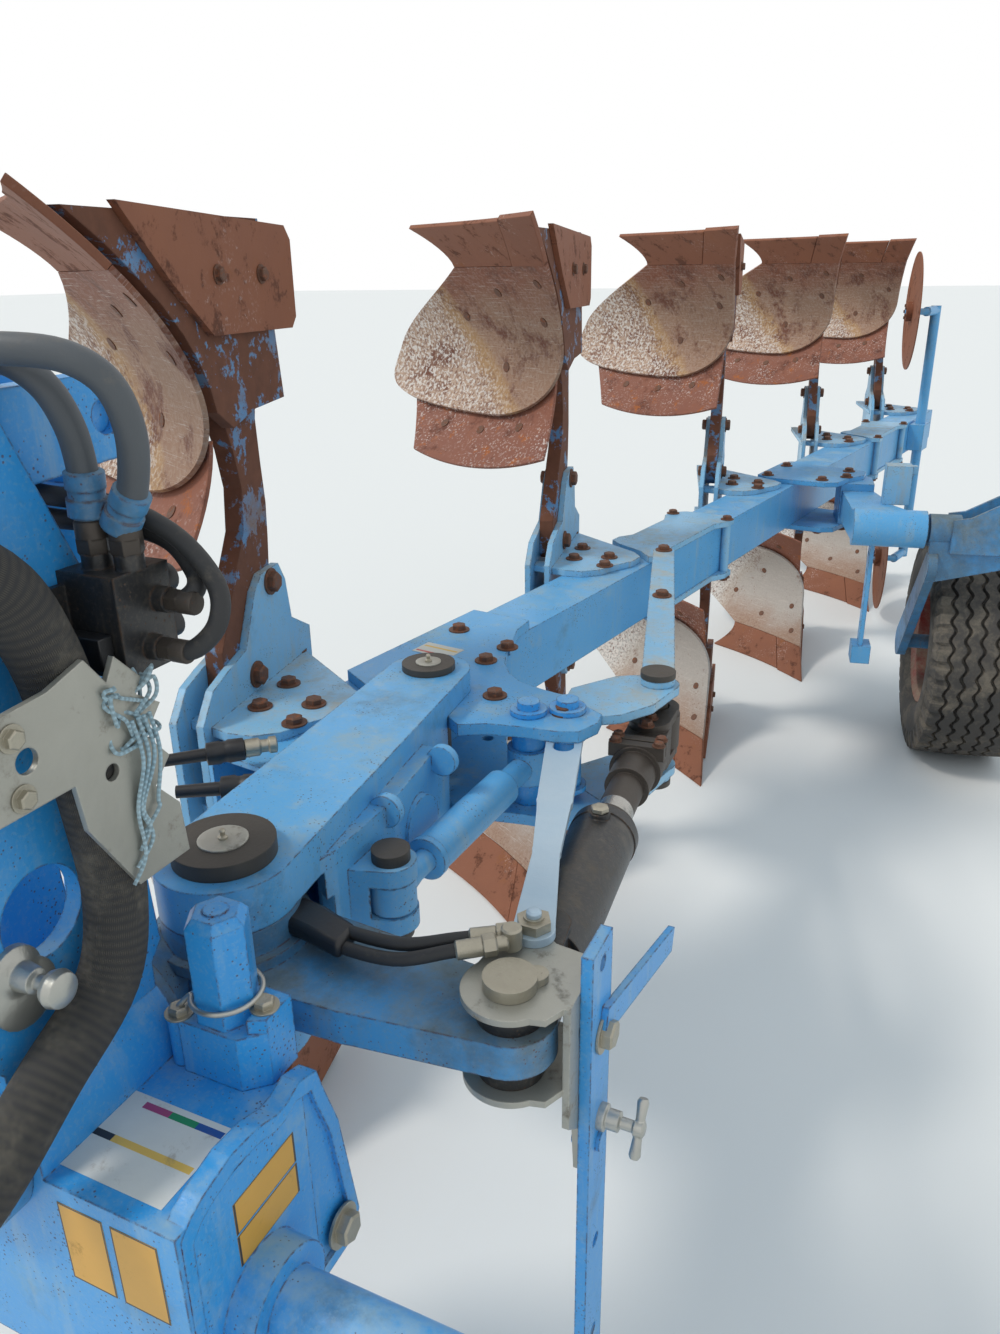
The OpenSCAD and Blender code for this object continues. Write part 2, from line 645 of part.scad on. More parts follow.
module beam() color("steelblue") {
  at_beam() translate([-beam_off, beam_start, turn_z])
    difference() {
      translate([-beam_h2, 0, -beam_h2]) cube([beam_w, beam_end - beam_start, beam_w]);
      translate([-beam_h2 + beam_wall, -1, -beam_h2 + beam_wall])
        cube([beam_w - 2 * beam_wall, beam_end - beam_start - beam_wall, beam_w - 2 * beam_wall]);
    }
}
module turnbuckle() color("steelblue") {
  t2 = from_beam(pin_t2);
  v = unit([t2[0] - pin_t1[0], t2[1] - pin_t1[1], 0]);
  p1 = [pin_t1[0], pin_t1[1], turn_z];
  p2 = [t2[0], t2[1], turn_z];
  difference() {
    union() {
      disc(pin_t1, 32, turn_z - 22, turn_z + 22);
      bar(p1 + v * 26, p1 + v * 110, 17);
      bar(p1 + v * 84, p1 + v * 96, 32);
      bar(p1 + v * 90, p2 - v * 100, 30);
      bar(p2 - v * 112, p2 - v * 30, 20);
      disc(t2, 36, turn_z - 30, turn_z + 30);
    }
    disc(pin_t1, tie_pin_r + shaft_fit, 0, 2 * turn_z);
    disc(t2, tie_pin_r + shaft_fit, 0, 2 * turn_z);
  }
}
// Outrigger plates beside the head plates, which hold the swing cylinder's rear pin
module outrigger() color("lightsteelblue") {
  step = [0, gap];
  at_beam() both_ways() translate([0, 0, plate_z])
    linear_extrude(bracket_t)
      difference() {
        union() {
          polygon([
            head_edge[1] + step, head_edge[2] + step, [176, 690], pin_e + [34, -90], pin_e + [37, 0],
            pin_e + [0, 37], pin_e + [-50, 16], [92, 838], [50, 748]
          ]);
          translate(pin_e) circle(r = 38);
        }
        translate(pin_e) circle(r = swing_pin_r + shaft_fit);
      }
}
strap_end = [-beam_off + beam_h2 + 19, body_along(2) + 510];
module strap() color("lightsteelblue") {
  at_beam() both_ways() difference() {
    link(strap_end, strap_w / 2, pin_e, strap_w / 2 + 3, plate_z + bracket_t + gap, plate_z + bracket_t + 13);
    disc(pin_e, swing_pin_r + shaft_fit, 0, 3 * turn_z);
  }
}
module pivot_pins() color("dimgray") {
  b = from_beam(pin_b);
  disc(pin_a, pivot_pin_r, turn_z - ear_top - 12, turn_z + ear_top + 12);
  both_ways() disc(pin_a, 62, turn_z + ear_top + gap, turn_z + ear_top + 20);
  disc(b, pivot_pin_r, turn_z - ear_top - 8, turn_z + ear_top + 8);
  both_ways() disc(b, 46, turn_z + ear_top + gap, turn_z + ear_top + 12);
  disc(pin_t1, tie_pin_r, turn_z - 60, turn_z + 60);
  both_ways() disc(pin_t1, 26, turn_z + 50 + gap, turn_z + 66);
  disc(swing_e, swing_pin_r, turn_z - beam_h2 - bracket_t - 20, plate_z + bracket_t + 20);
  both_ways() disc(swing_e, 31, plate_z + bracket_t + 13 + gap, plate_z + bracket_t + 24);
}
// Flanged spools on the tie's rear pin and on the lever's pin
module spools() color("dodgerblue") {
  t2 = from_beam(pin_t2);
  s = from_beam(pin_s);
  head = plate_z + head_t;
  disc(t2, tie_pin_r, turn_z - beam_h2 - head_t - 1, head + 1);
  disc(s, spool_pin_r, turn_z - beam_h2 - head_t - 1, head + 1);
  both_ways() {
    for (p = [t2, s]) {
      disc(p, 31, head + gap, head + 9);
      disc(p, 19, head + 8, head + 22);
    }
    ring(t2, 28, tie_pin_r - 1, turn_z + 30 + gap, plate_z - gap);
    disc(s, 24, turn_z, lever_low - 14);
    disc(s, 33, lever_low - 15, lever_low - 5);
  }
}

// Body brackets: plates on the beam and the pair that holds the legs
leg_x = -leg_t / 2 - 21;
leg_bolts = [[445, 755], [530, 610]];
spacer_r = 12;
module bracket_2d(i) {
  x0 = -beam_off;
  y0 = body_along(i);
  difference() {
    polygon([
      [x0 - 168, y0 + 265], [x0 - 60, y0 + 262], [x0 - 18, y0 + 275], [x0 + 12, y0 + 310], [x0 + 20, y0 + 350],
      [x0 + 46, y0 + 420], [x0 + 44, y0 + 468], [x0 + 11, y0 + 500], [x0 - 180, y0 + 590],
      [x0 - 315, y0 + 652], [x0 - 334, y0 + 640]
    ]);
    for (p = [[-122, 464], [-91, 364], [-20, 420]])
      translate([x0 + p[0], y0 + p[1]]) circle(r = 12);
  }
}
// Waisted clamp plate behind the bracket, with a bolt ear at each corner
module clamp_2d(i) {
  x0 = -beam_off;
  y0 = body_along(i);
  e = beam_h2 + 26;
  polygon([
    [x0 - e, y0 + 585], [x0 - 60, y0 + 556], [x0 + 20, y0 + 518], [x0 + 62, y0 + 478], [x0 + e, y0 + 486],
    [x0 + e, y0 + 535], [x0 + beam_h2 + 4, y0 + 590], [x0 + beam_h2 + 4, y0 + 890], [x0 + e, y0 + 940],
    [x0 + e, y0 + 985], [x0 + 60, y0 + 1010], [x0 - 60, y0 + 1000], [x0 - e, y0 + 970],
    [x0 - e, y0 + 925], [x0 - beam_h2 - 4, y0 + 870], [x0 - beam_h2 - 4, y0 + 665], [x0 - e, y0 + 625]
  ]);
}
module leg_plate_2d() {
  polygon([
    [258, body_h + 1], [258, body_h - 96], [300, body_h - 142], [352, body_h - 156], [420, body_h - 170],
    [470, 612], [500, 588], [566, 586], [588, 622], [600, 700], [672, body_h - 130], [672, body_h + 1]
  ]);
}
module bracket(i) color("steelblue") {
  waisted = i == 2 || i == 4;
  difference() {
    union() {
      at_beam() both_ways()
        translate([0, 0, plate_z]) linear_extrude(bracket_t) {
          bracket_2d(i);
          if (waisted) clamp_2d(i);
        }
      if (waisted)
        at_beam() for (side = [-1, 1]) for (y = [512, 962])
          disc([-beam_off + side * (beam_h2 + spacer_r + 1), body_along(i) + (side < 0 && y < 600 ? y + 92 : y)],
               spacer_r, turn_z - beam_h2 - 1, plate_z + 1);
      both_ways() at_body(i) {
        side_plate(leg_x - leg_t / 2 - gap - 14, leg_x - leg_t / 2 - gap) leg_plate_2d();
        side_plate(leg_x + leg_t / 2 + gap, leg_x + leg_t / 2 + gap + 14) leg_plate_2d();
      }
    }
    both_ways() at_body(i) {
      for (p = leg_bolts)
        along_x(leg_x - 40, leg_x + 40, leg_bolt_r + shaft_fit, p[0], p[1]);
      translate([leg_x - leg_t / 2 - gap, 340, 500]) cube([leg_t + 2 * gap, 260, body_h - beam_h2 - 500]);
    }
  }
}

// Legs with their frogs
module leg_side_2d() {
  top = body_h - beam_h2 - bracket_t - gap;
  polygon([
    [424, 190], [606, 190], [600, 240], [572, 290], [562, 330], [565, 403], [570, 476], [565, 535], [556, 600],
    [558, 700], [552, top - 10], [540, top], [376, top], [364, top - 14], [366, 688], [400, 634], [445, 561],
    [480, 509], [490, 436], [475, 370], [450, 311], [424, 262]
  ]);
}
// The frog's front edge lies against the back of the share and the mouldboard
frog_s = 0.062;
function frog_y(z) = let (t = z < share_h + 8 ? share_t : mould_t)
  surf(frog_s, z)[1] + (t + gap) / surf_n(frog_s, z)[1];
module frog_2d() {
  polygon(concat(
    [for (z = [300:-40:20]) [frog_y(z), z]],
    [[600, 16], [612, 120], [626, 190], [639, 302], [527, 309], [450, 330]]
  ));
}
module leg(i) color("saddlebrown") {
  both_ways() at_body(i) {
    difference() {
      union() {
        side_plate(leg_x - leg_t / 2, leg_x + leg_t / 2) leg_side_2d();
        side_plate(leg_x + leg_t / 2 - 1, -gap) frog_2d();
      }
      for (p = leg_bolts)
        along_x(leg_x - 40, leg_x + 40, leg_bolt_r, p[0], p[1]);
    }
  }
}

// Mouldboard surface: straight lines that sweep up the shin and turn outwards
function shin_y(z) = 2.2 * z - 0.0033 * z * z;
function line_yaw(z) = 45 + 9 * z / 375;
function line_len(z) = share_len + (mould_len - share_len) * z / 375;
function surf(s, z) = [
  -s * line_len(z) * sin(line_yaw(z)) + 22 * sin(180 * s) * cos(line_yaw(z)) - 2,
  shin_y(z) + s * line_len(z) * cos(line_yaw(z)) + 22 * sin(180 * s) * sin(line_yaw(z)),
  z
];
function surf_n(s, z) = unit(cross(
  surf(s + 0.01, z) - surf(s - 0.01, z), surf(s, z + 1) - surf(s, z - 1)));
share_t = 10;
share_low = 6;
share_seam = 0.72;
point_end = 0.262;
trash_gap = 7;
mould_low = share_h + 0.6;
// The shin is cut back in an arc towards the top, and the wing swells and then rounds off
shin_cut_z = 270;
wing_z = 290;
top_s = [0.42, 0.45];
function shin_s(z) =
  z <= shin_cut_z ? 0 : let (t = (z - shin_cut_z) / (mould_top - shin_cut_z)) top_s[0] * (1 - sqrt(1 - t * t));
function wing_s(z) =
  z <= wing_z ? share_seam + 0.364 * sin(90 * (z - mould_low) / (wing_z - mould_low)) :
  top_s[1] + 0.634 * sqrt(1 - pow(min((z - wing_z) / (mould_top - wing_z), 1), 4.5));
// Height of the top edge at a place along it
function seam_z(s) =
  s < top_s[0] ? shin_cut_z + (mould_top - shin_cut_z) * sqrt(1 - pow(1 - s / top_s[0], 2)) :
  s < top_s[1] ? mould_top :
  wing_z + (mould_top - wing_z) * pow(1 - pow((s - top_s[1]) / 0.634, 2), 0.222);
function trash_top(s) = mould_top + trash_h - 232 * pow(s - 0.48, 2);
// Each outline gives the place on the surface of a point across (u) and up (v) the piece
function mould_at(u, v) = let (z = lerp(mould_low, mould_top, sin(90 * v))) [lerp(shin_s(z), wing_s(z), u), z];
function share_at(u, v) = [lerp(point_end + 0.006, share_seam + 0.26 * pow(1 - v, 1.6), u), lerp(share_low, share_h, v)];
function point_at(u, v) = [lerp(-0.028 * (1 - v), point_end, u), lerp(share_low - 4, share_h, v)];
function trash_at(u, v) = let (s = lerp(0.07, lerp(0.92, 0.76, v), u))
  [s, lerp(seam_z(s) - 24, trash_top(s), v)];
// A sheet of the surface inside an outline, from one distance to another behind it
module sheet(outline, off0, off1, ns, nz) {
  grid = [for (j = [0:nz]) for (i = [0:ns]) outline(i / ns, j / nz)];
  front = [for (g = grid) surf(g[0], g[1]) + surf_n(g[0], g[1]) * off0];
  back = [for (g = grid) surf(g[0], g[1]) + surf_n(g[0], g[1]) * off1];
  w = ns + 1;
  m = w * (nz + 1);
  top = nz * w;
  polyhedron(concat(front, back), concat(
    [for (j = [0:nz - 1]) for (i = [0:ns - 1]) each [
      [j * w + i, (j + 1) * w + i + 1, j * w + i + 1],
      [j * w + i, (j + 1) * w + i, (j + 1) * w + i + 1],
      [m + j * w + i, m + j * w + i + 1, m + (j + 1) * w + i + 1],
      [m + j * w + i, m + (j + 1) * w + i + 1, m + (j + 1) * w + i]]],
    [for (i = [0:ns - 1]) each [
      [i, m + i + 1, m + i], [i, i + 1, m + i + 1],
      [top + i, top + m + i, top + m + i + 1], [top + i, top + m + i + 1, top + i + 1]]],
    [for (j = [0:nz - 1]) each [
      [j * w, m + (j + 1) * w, (j + 1) * w], [j * w, m + j * w, m + (j + 1) * w],
      [j * w + ns, (j + 1) * w + ns, m + (j + 1) * w + ns],
      [j * w + ns, m + (j + 1) * w + ns, m + j * w + ns]]]
  ));
}
module mouldboard(i) color("gray") {
  both_ways() at_body(i) sheet(function (u, v) mould_at(u, v), 0, mould_t, 7, 9);
}
module share(i) color("saddlebrown") {
  both_ways() at_body(i) {
    sheet(function (u, v) share_at(u, v), 0, share_t, 6, 3);
    sheet(function (u, v) point_at(u, v), -2, share_t, 3, 2);
  }
}
module trash_boards() color("saddlebrown") {
  for (i = [1:bodies])
    both_ways() at_body(i)
      sheet(function (u, v) trash_at(u, v), mould_t + trash_gap, mould_t + trash_gap + 7, 7, 3);
}
module landside_2d() {
  difference() {
    polygon([[190, 10], [670, 24], [690, 46], [690, 170], [672, 188], [400, 186], [300, 110]]);
    for (y = [430, 570])
      translate([y, 100]) circle(r = 13);
  }
}
module landsides() color("sienna") {
  for (i = [1:bodies])
    both_ways() at_body(i)
      side_plate(0, 12) landside_2d();
}

// Depth wheel
wheel_root = from_beam([265, body_along(3) + 392]);
wheel_out = tyre_w / 2 + 70;
wheel_drop = turn_z - ground_z - tyre_r;
wheel_plate_y = body_along(3) + 534;
module at_wheel_root() translate([wheel_root[0], wheel_root[1], turn_z]) rotate([0, 0, body_yaw]) children();
module at_wheel() at_wheel_root() translate([wheel_out, wheel_trail, -wheel_drop]) rotate([0, 90, 0]) children();
arm_in = 9;
arm_shaft_r = 30;
arm_shaft_len = 110;
leg_in = 12;
leg_out = 40;
module wheel_plate_2d() {
  x0 = -beam_off;
  y0 = wheel_plate_y;
  polygon([
    [x0 - 76, y0 + 40], [x0 - 30, y0], [x0 + 170, y0 + 4], [x0 + 207, y0 + 30], [x0 + 219, y0 + 120],
    [x0 + 250, y0 + 200], [x0 + 238, y0 + 270], [x0 + 170, y0 + 300], [x0 - 76, y0 + 310]
  ]);
}
module wheel_bracket() color("steelblue") {
  difference() {
    union() {
      at_beam() both_ways() translate([0, 0, plate_z]) linear_extrude(bracket_t) wheel_plate_2d();
      // Box arm that bends from the plates forward to the cross tube
      at_wheel_root() {
        translate([0, 0, -beam_h2 - 1]) linear_extrude(beam_w + 2)
          polygon([[-236, 330], [-128, 330], [-126, 452], [-150, 500], [-240, 500]]);
        translate([0, 0, -46]) linear_extrude(92)
          polygon([[-232, 340], [-128, 340], [-84, 120], [-50, 60], [-50, 20], [-216, 20], [-222, 120]]);
        along_x(-216, 0, pivot_tube_r);
        // Flat bars below the tube: the perforated strut and its foot block
        translate([-150, 40, -430]) cube([14, 52, 440]);
        translate([-170, 30, -470]) cube([60, 80, 60]);
      }
    }
    at_wheel_root() along_x(-arm_shaft_len - 10, 1, arm_shaft_r + shaft_fit);
    at_wheel_root() for (z = [-400:60:-100])
      along_x(-160, -120, 9, 66, z);
  }
}
// Curved stop and rubber buffer over the cross tube
module wheel_stop() color("steelblue") {
  at_wheel_root() {
    translate([-40, 150, 20]) rotate([0, 90, 0]) rotate([0, 0, 100]) rotate_extrude(angle = 84)
      translate([124, 0]) square([26, 16]);
    translate([-118, 130, 46 + gap]) cube([79, 66, 124]);
  }
}
module wheel_arm() color("steelblue") {
  at_wheel_root() {
    along_x(-arm_shaft_len, arm_in + 1, arm_shaft_r);
    along_x(arm_in, 100, pivot_tube_r - 8);
    along_x(94, 262, 36);
    // Gusseted side plates and the slotted lower plate
    for (y = [-56, 44])
      front_plate(y, y + 12)
        polygon([[70, -60], [70, 44], [118, 52], [236, 118], [268, 118], [268, -60]]);
    front_plate(-43, -31)
      polygon([[leg_in, -26], [70, -26], [262, -50], [236, -104], [60, -150], [leg_in, -160]]);
    side_plate(leg_in, leg_out) link_2d([-34, -104], 40, [wheel_trail, -wheel_drop], 52);
    along_x(leg_out - 1, wheel_out + 60, stub_r, wheel_trail, -wheel_drop);
  }
}
module rim() color("firebrick") {
  bead = tyre_w / 2 - 24;
  at_wheel()
    difference() {
      rotate_extrude($fn = 96)
        polygon([
          [stub_r + shaft_fit, -70], [70, -70], [70, -20], [rim_r - 10, 0], [rim_r - 10, -bead + 16],
          [rim_r + 16, -bead], [rim_r + 16, -bead + 12], [rim_r, -bead + 24], [rim_r, bead - 24],
          [rim_r + 16, bead - 12], [rim_r + 16, bead], [rim_r - 10, bead - 16], [rim_r - 10, 12], [70, -8],
          [70, 30], [stub_r + shaft_fit, 30]
        ]);
      for (k = [0:5])
        rotate([0, 0, 60 * k]) translate([130, 0, -60]) cylinder(h = 120, r = 22);
    }
}
module tyre() color("dimgray") {
  w2 = tyre_w / 2;
  bead = w2 - 24;
  body_r = tyre_r - tread_h;
  rib = tyre_w / 7;
  // Five ribs round the tread, with grooves between them
  groove = [for (k = [-2:2]) each [
    [body_r - (abs(k) == 2 ? 6 : 0), (k - 0.5) * rib + 4], [tyre_r - 2 * abs(k), (k - 0.5) * rib + 7],
    [tyre_r - 2 * abs(k), (k + 0.5) * rib - 7], [body_r - (abs(k) == 2 ? 6 : 0), (k + 0.5) * rib - 4]]];
  at_wheel()
    rotate_extrude($fn = 96)
      polygon(concat(
        [[rim_r + gap, -bead + 26], [rim_r + 17, -bead + 13], [rim_r + 22, -bead - 1], [rim_r + 70, -w2],
         [body_r - 50, -w2], [body_r - 16, -w2 + 12]],
        groove,
        [[body_r - 16, w2 - 12], [body_r - 50, w2], [rim_r + 70, w2], [rim_r + 22, bead + 1],
         [rim_r + 17, bead - 13], [rim_r + gap, bead - 26]]
      ));
}

// Disc coulters of the last body
disc_at = [24, -60, 300];
// The holder's post stands beside the beam, ahead of the last bracket
disc_post_beam = [-beam_off + beam_h2 + 39, body_along(bodies) + 120];
function beam_to_body(p) = [
  (p[0] + beam_off) * cos(beam_yaw + body_yaw) + (p[1] - body_along(bodies)) * sin(beam_yaw + body_yaw),
  -(p[0] + beam_off) * sin(beam_yaw + body_yaw) + (p[1] - body_along(bodies)) * cos(beam_yaw + body_yaw)
];
disc_post = beam_to_body(disc_post_beam);
module coulter_holders() color("steelblue") {
  both_ways() at_body(bodies) {
    along_x(disc_at[0] - 30, disc_at[0] + 70, disc_axle_r, disc_at[1], disc_at[2]);
    bar([disc_at[0] + 60, disc_at[1], disc_at[2]], [disc_post[0], disc_post[1], disc_at[2]], 20);
    disc(disc_post, 22, disc_at[2] - 20, body_h + 40);
    translate([disc_post[0], disc_post[1], body_h - 60]) rotate([0, 0, -beam_yaw - body_yaw])
      translate([-39 + gap, -60, 0]) cube([70, 120, 61]);
  }
}
module coulter_disc() {
  at_body(bodies) translate([disc_at[0], disc_at[1], disc_at[2]]) rotate([0, 90, 0])
    difference() {
      union() {
        cylinder(h = disc_t, r = disc_r, center = true, $fn = 96);
        cylinder(h = 56, r = 42, center = true);
      }
      cylinder(h = 80, r = disc_axle_r + shaft_fit, center = true);
    }
}
module coulter_disc_lower() color("sienna") coulter_disc();
module coulter_disc_upper() color("sienna")
  translate([0, 0, 2 * turn_z]) mirror([0, 0, 1]) coulter_disc();
module crank_hoses() color("dimgray") {
  hose([[134, 292, 233.9], [190, 270, 242], [279, 262, 252], [340, 284, 262], [384, 306, 266]], 8);
  hose([[142.5, 266, 234.5], [196, 249, 236], [280, 244, 244], [344, 262, 262], [378, 282, 266]], 8);
}

headstock();
lower_link_pins();
stop_posts();
turnover_cylinder();
valve_block();
hose_holder();
tower_hoses();
hose_sleeve();
turning_head();
crank_pins();
crank_hoses();
stand_bracket();
stand();
swing_barrel();
swing_rod();
swing_lever();
casting();
head_plates();
beam();
turnbuckle();
outrigger();
strap();
pivot_pins();
spools();
bracket(1);  // bracket_1
bracket(2);  // bracket_2
bracket(3);  // bracket_3
bracket(4);  // bracket_4
bracket(5);  // bracket_5
leg(1);  // leg_1
leg(2);  // leg_2
leg(3);  // leg_3
leg(4);  // leg_4
leg(5);  // leg_5
mouldboard(1);  // mouldboard_1
mouldboard(2);  // mouldboard_2
mouldboard(3);  // mouldboard_3
mouldboard(4);  // mouldboard_4
mouldboard(5);  // mouldboard_5
share(1);  // share_1
share(2);  // share_2
share(3);  // share_3
share(4);  // share_4
share(5);  // share_5
trash_boards();
landsides();
coulter_holders();
wheel_bracket();
wheel_stop();
wheel_arm();
rim();
tyre();
coulter_disc_upper();
coulter_disc_lower();
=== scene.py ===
"""Looks of the parked reversible plough: worn steel, dusty blue paint, fasteners, hoses, tread and plates."""
import logging
import math
import random
from dataclasses import dataclass, field
from enum import Enum, IntEnum
from typing import Callable, Sequence

import bmesh
import bpy
from mathutils import Matrix, Vector


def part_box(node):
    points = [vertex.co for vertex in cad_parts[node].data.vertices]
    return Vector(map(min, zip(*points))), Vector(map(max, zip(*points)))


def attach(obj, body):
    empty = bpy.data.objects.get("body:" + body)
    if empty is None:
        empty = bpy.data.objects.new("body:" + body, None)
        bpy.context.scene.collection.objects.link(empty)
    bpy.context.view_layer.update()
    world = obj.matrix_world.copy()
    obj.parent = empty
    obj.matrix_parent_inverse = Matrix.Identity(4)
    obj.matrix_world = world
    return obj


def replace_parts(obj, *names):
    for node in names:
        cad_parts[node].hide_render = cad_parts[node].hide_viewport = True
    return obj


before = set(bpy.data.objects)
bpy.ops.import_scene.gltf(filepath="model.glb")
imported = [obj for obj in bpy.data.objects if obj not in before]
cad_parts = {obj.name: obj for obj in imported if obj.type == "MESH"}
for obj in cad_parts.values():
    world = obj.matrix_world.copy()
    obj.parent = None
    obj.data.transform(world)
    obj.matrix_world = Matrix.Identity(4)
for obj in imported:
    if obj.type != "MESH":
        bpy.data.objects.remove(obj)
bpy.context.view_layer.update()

log = logging.getLogger("plough")
Point = tuple[float, ...]


class Body(Enum):
    """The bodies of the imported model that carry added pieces."""

    HEADSTOCK = "headstock"
    TURNING_HEAD = "turning_head"
    STAND = "stand"
    BARREL = "swing_barrel"
    ROD = "swing_rod"
    FRAME = "frame"
    WHEEL = "wheel"
    COULTER_UPPER = "coulter_upper"
    COULTER_LOWER = "coulter_lower"


class Side(Enum):
    """Which set of plough bodies a piece belongs to: its value mirrors heights about the turning axis."""

    LOWER = 1
    UPPER = -1


@dataclass(frozen=True)
class Layout:
    """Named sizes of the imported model, in millimetres and degrees."""

    turn_z: float = 190.0
    pivot: Point = (50.0, 250.0)
    beam_yaw: float = 8.56
    body_yaw: float = 10.5
    beam_off: float = 269.0
    beam_first: float = 37.0
    pitch: float = 1087.0
    body_h: float = 870.0
    bodies: int = 5
    plate_top: float = 276.0
    head_top: float = 280.0
    leg_x: float = -38.0

    def beam_point(self, x: float, y: float, z: float) -> Vector:
        """A point given along the beam.

        Args:
            x: Distance to the left of the beam's reference line.
            y: Distance along the beam from the frame pivot.
            z: Height in the shared frame.

        Returns:
            The point in metres in the shared frame.
        """
        a = math.radians(self.beam_yaw)
        return mm(self.pivot[0] + x * math.cos(a) + y * math.sin(a),
                  self.pivot[1] - x * math.sin(a) + y * math.cos(a), z)

    def body_point(self, i: int, p: Sequence[float], side: Side) -> Vector:
        """A point given in the frame of plough body i, mirrored for the upper set.

        Args:
            i: Number of the body, from 1.
            p: The point in the body's own frame, its height above the share's underside.
            side: The lower or the upper set.

        Returns:
            The point in metres in the shared frame.
        """
        root = self.beam_point(-self.beam_off, self.beam_first + (i - 1) * self.pitch, 0)
        a = math.radians(self.body_yaw)
        along = Vector((math.cos(a), math.sin(a), 0)) * p[0] + Vector((-math.sin(a), math.cos(a), 0)) * p[1]
        height = self.turn_z + side.value * (p[2] - self.body_h)
        return Vector((root.x + along.x / 1000, root.y + along.y / 1000, height / 1000))

    def body_axis(self, axis: Sequence[float], side: Side) -> Vector:
        """A direction of a plough body's frame, turned into the shared frame.

        Args:
            axis: The direction in the body's frame.
            side: The set of bodies.

        Returns:
            The direction, one metre long.
        """
        a = math.radians(self.body_yaw)
        return Vector((axis[0] * math.cos(a) - axis[1] * math.sin(a),
                       axis[0] * math.sin(a) + axis[1] * math.cos(a), side.value * axis[2])).normalized()

    def beam_axis(self, x: float, y: float, z: float) -> Vector:
        """A direction given along the beam, turned into the shared frame."""
        a = math.radians(self.beam_yaw)
        return Vector((x * math.cos(a) + y * math.sin(a), -x * math.sin(a) + y * math.cos(a), z)).normalized()

    def flipped(self, z: float, way: int) -> float:
        """A height, or with way -1 its mirror below the turning axis."""
        return self.turn_z + way * (z - self.turn_z)


def mm(x: float, y: float, z: float) -> Vector:
    """A point in metres from millimetres."""
    return Vector((x, y, z)) * 0.001


def srgb(red: int, green: int, blue: int) -> Point:
    """A linear colour with full alpha from its 0 to 255 screen values.

    Args:
        red: Its red value.
        green: Its green value.
        blue: Its blue value.

    Returns:
        The colour's four numbers.
    """
    def line(v: float) -> float:
        """One channel, made linear."""
        v /= 255
        return v / 12.92 if v <= 0.04045 else ((v + 0.055) / 1.055) ** 2.4
    return (line(red), line(green), line(blue), 1.0)


def shade(colour: Point, share: float) -> Point:
    """A colour made darker or lighter, with no channel above 1."""
    return tuple(min(1.0, share * v) for v in colour[:3]) + (1.0,)


LAY = Layout()
STATIONS = range(1, LAY.bodies + 1)
LEFT = Vector((1, 0, 0))
REAR = Vector((0, 1, 0))
UP = Vector((0, 0, 1))
NUMBER = "NodeSocketFloat"
VECTOR = "NodeSocketVector"


# Shader trees


